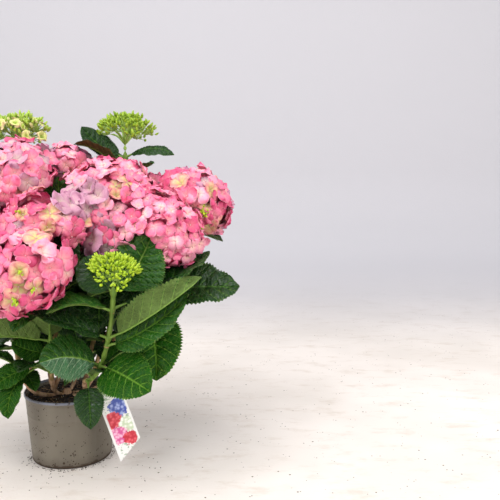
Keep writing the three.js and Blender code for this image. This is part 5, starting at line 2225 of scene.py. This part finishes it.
@dataclass
class Studio:
    """Floor, wall, light and camera."""

    groups: Groups
    place: Numbers = (0.2608, -0.958, 0.416)
    pitch: float = 6.87
    lens: float = 48.96
    sensor: float = 36.0
    crumbs: int = 420
    sky: tuple[float, ...] = (0.9, 0.94, 1.0, 1)
    sky_strength: float = 0.46
    lamps: tuple[tuple[str, Numbers, Numbers, float, float, Numbers], ...] = (
        ("sky", (-0.4, -0.7, 2.3), (0.05, 0.1, 0.2), 2.0, 52, (1.0, 0.985, 0.96)),
        ("window", (-1.3, -2.1, 1.3), (0.05, 0, 0.25), 1.2, 31, (0.98, 0.985, 1.0)),
        ("side", (2.0, -0.9, 1.3), (0.1, 0, 0.25), 1.4, 33, (1.0, 0.98, 0.95)),
    )

    def backdrop(self) -> None:
        """Makes a pale floor that sweeps up into a wall."""
        row = [(-3.0, 0.0), (0.9, 0.0), (1.15, 0.02), (1.35, 0.08), (1.5, 0.2), (1.56, 0.4), (1.58, 3.2)]
        bag = Bag()
        x = np.array([-4.0, 4.0])
        points = np.array([[(a * 1000, y * 1000, z * 1000 - 0.4) for a in x] for y, z in row])
        bag.add(points, grid_faces(len(row) - 1, 1, flip=True), np.zeros((len(row), 2, 2)))
        graph = Shader("floor_concrete")
        place = graph.place()
        base = self.groups.use(graph, self.groups.mottle, place=place, scale=3.0, first=colour(233, 225, 219),
                               second=colour(219, 211, 204), amount=0.9)["Colour"]
        stain = graph.ramp(graph.noise(graph.scaled(place, (1, 2.2, 1)), 14.0, 6.0, 0.7), 0.5, 0.72)
        base = graph.mix(graph.times(stain, 0.3), base, colour(176, 154, 130))
        wall = graph.ramp(graph.parts(place)[1], 0.5, 1.4)
        base = graph.mix(wall, base, colour(193, 191, 196))
        dirt = self.groups.use(graph, self.groups.specks, place=place, scale=120.0, share=0.2)["Mask"]
        dirt = graph.times(dirt, graph.math("SUBTRACT", 1.0, wall))
        base = graph.mix(dirt, base, colour(96, 82, 68))
        material = graph.finish(base, 0.85, graph.noise(place, 220.0), 0.0006)
        mesh_object("floor", bag.blocks, material)

    def litter(self) -> None:
        """Makes the crumbs of soil that lie round the pot's foot and about on the floor."""
        rng = np.random.default_rng(8)
        bag = Bag()
        for _ in range(self.crumbs):
            turn = rng.random() * TURN
            gap = abs(rng.normal(0, 3.5)) if rng.random() < 0.6 else rng.exponential(70)
            radius, size = POT.base + 0.6 + gap, rng.uniform(0.35, 1.3)
            middle = vec((radius * math.cos(turn), radius * math.sin(turn), size * 0.3 - 0.3))
            crumb(bag, rng, middle, size, 0.2)
        finish = PlainFinish("floor_crumb", (84, 66, 50), (46, 36, 28), 0.9, 150.0)
        mesh_object("litter", bag.blocks, finish.material(self.groups))

    @staticmethod
    def light(name: str, place: Numbers, aim: Numbers, size: float, watts: float, tint: Numbers) -> None:
        """Adds one soft lamp.

        Args:
            name: its name.
            place: where it hangs.
            aim: what it lights.
            size: its side in metres.
            watts: its power.
            tint: its colour.
        """
        data = bpy.data.lights.new(name, "AREA")
        data.size, data.energy, data.color = size, watts, tint
        lamp = bpy.data.objects.new(name, data)
        lamp.location = place
        lamp.rotation_euler = (Vector(aim) - Vector(place)).to_track_quat("-Z", "Y").to_euler()
        bpy.context.scene.collection.objects.link(lamp)

    def build(self) -> None:
        """Makes the camera first, then the floor and the light."""
        data = bpy.data.cameras.new("camera")
        data.lens, data.sensor_width = self.lens, self.sensor
        camera = bpy.data.objects.new("camera", data)
        camera.location = self.place
        camera.rotation_euler = (math.radians(90 - self.pitch), 0, 0)
        bpy.context.scene.collection.objects.link(camera)
        bpy.context.scene.camera = camera
        self.backdrop()
        self.litter()
        for lamp in self.lamps:
            self.light(*lamp)
        world = bpy.data.worlds.new("world")
        world.use_nodes = True
        world.node_tree.nodes["Background"].inputs[0].default_value = self.sky
        world.node_tree.nodes["Background"].inputs[1].default_value = self.sky_strength
        bpy.context.scene.world = world
        bpy.context.scene.view_settings.view_transform = "Standard"


def main() -> None:
    """Builds the plant, its pot, its label and the studio in order."""
    logging.basicConfig(level=logging.INFO, format="%(name)s %(message)s")
    groups = Groups()
    Studio(groups).build()
    growth = Growth().grow()
    LOG.info("leaves: %d", len(growth.leaves))
    Pot(groups).build()
    Soil(groups).build()
    Label(groups).build()
    Stems(growth, groups).build()
    Foliage(growth, groups).build()
    blossom = Blossom(growth, groups)
    blossom.build()
    Buds(growth, groups, blossom).build()


if __name__ == "__main__":
    main()
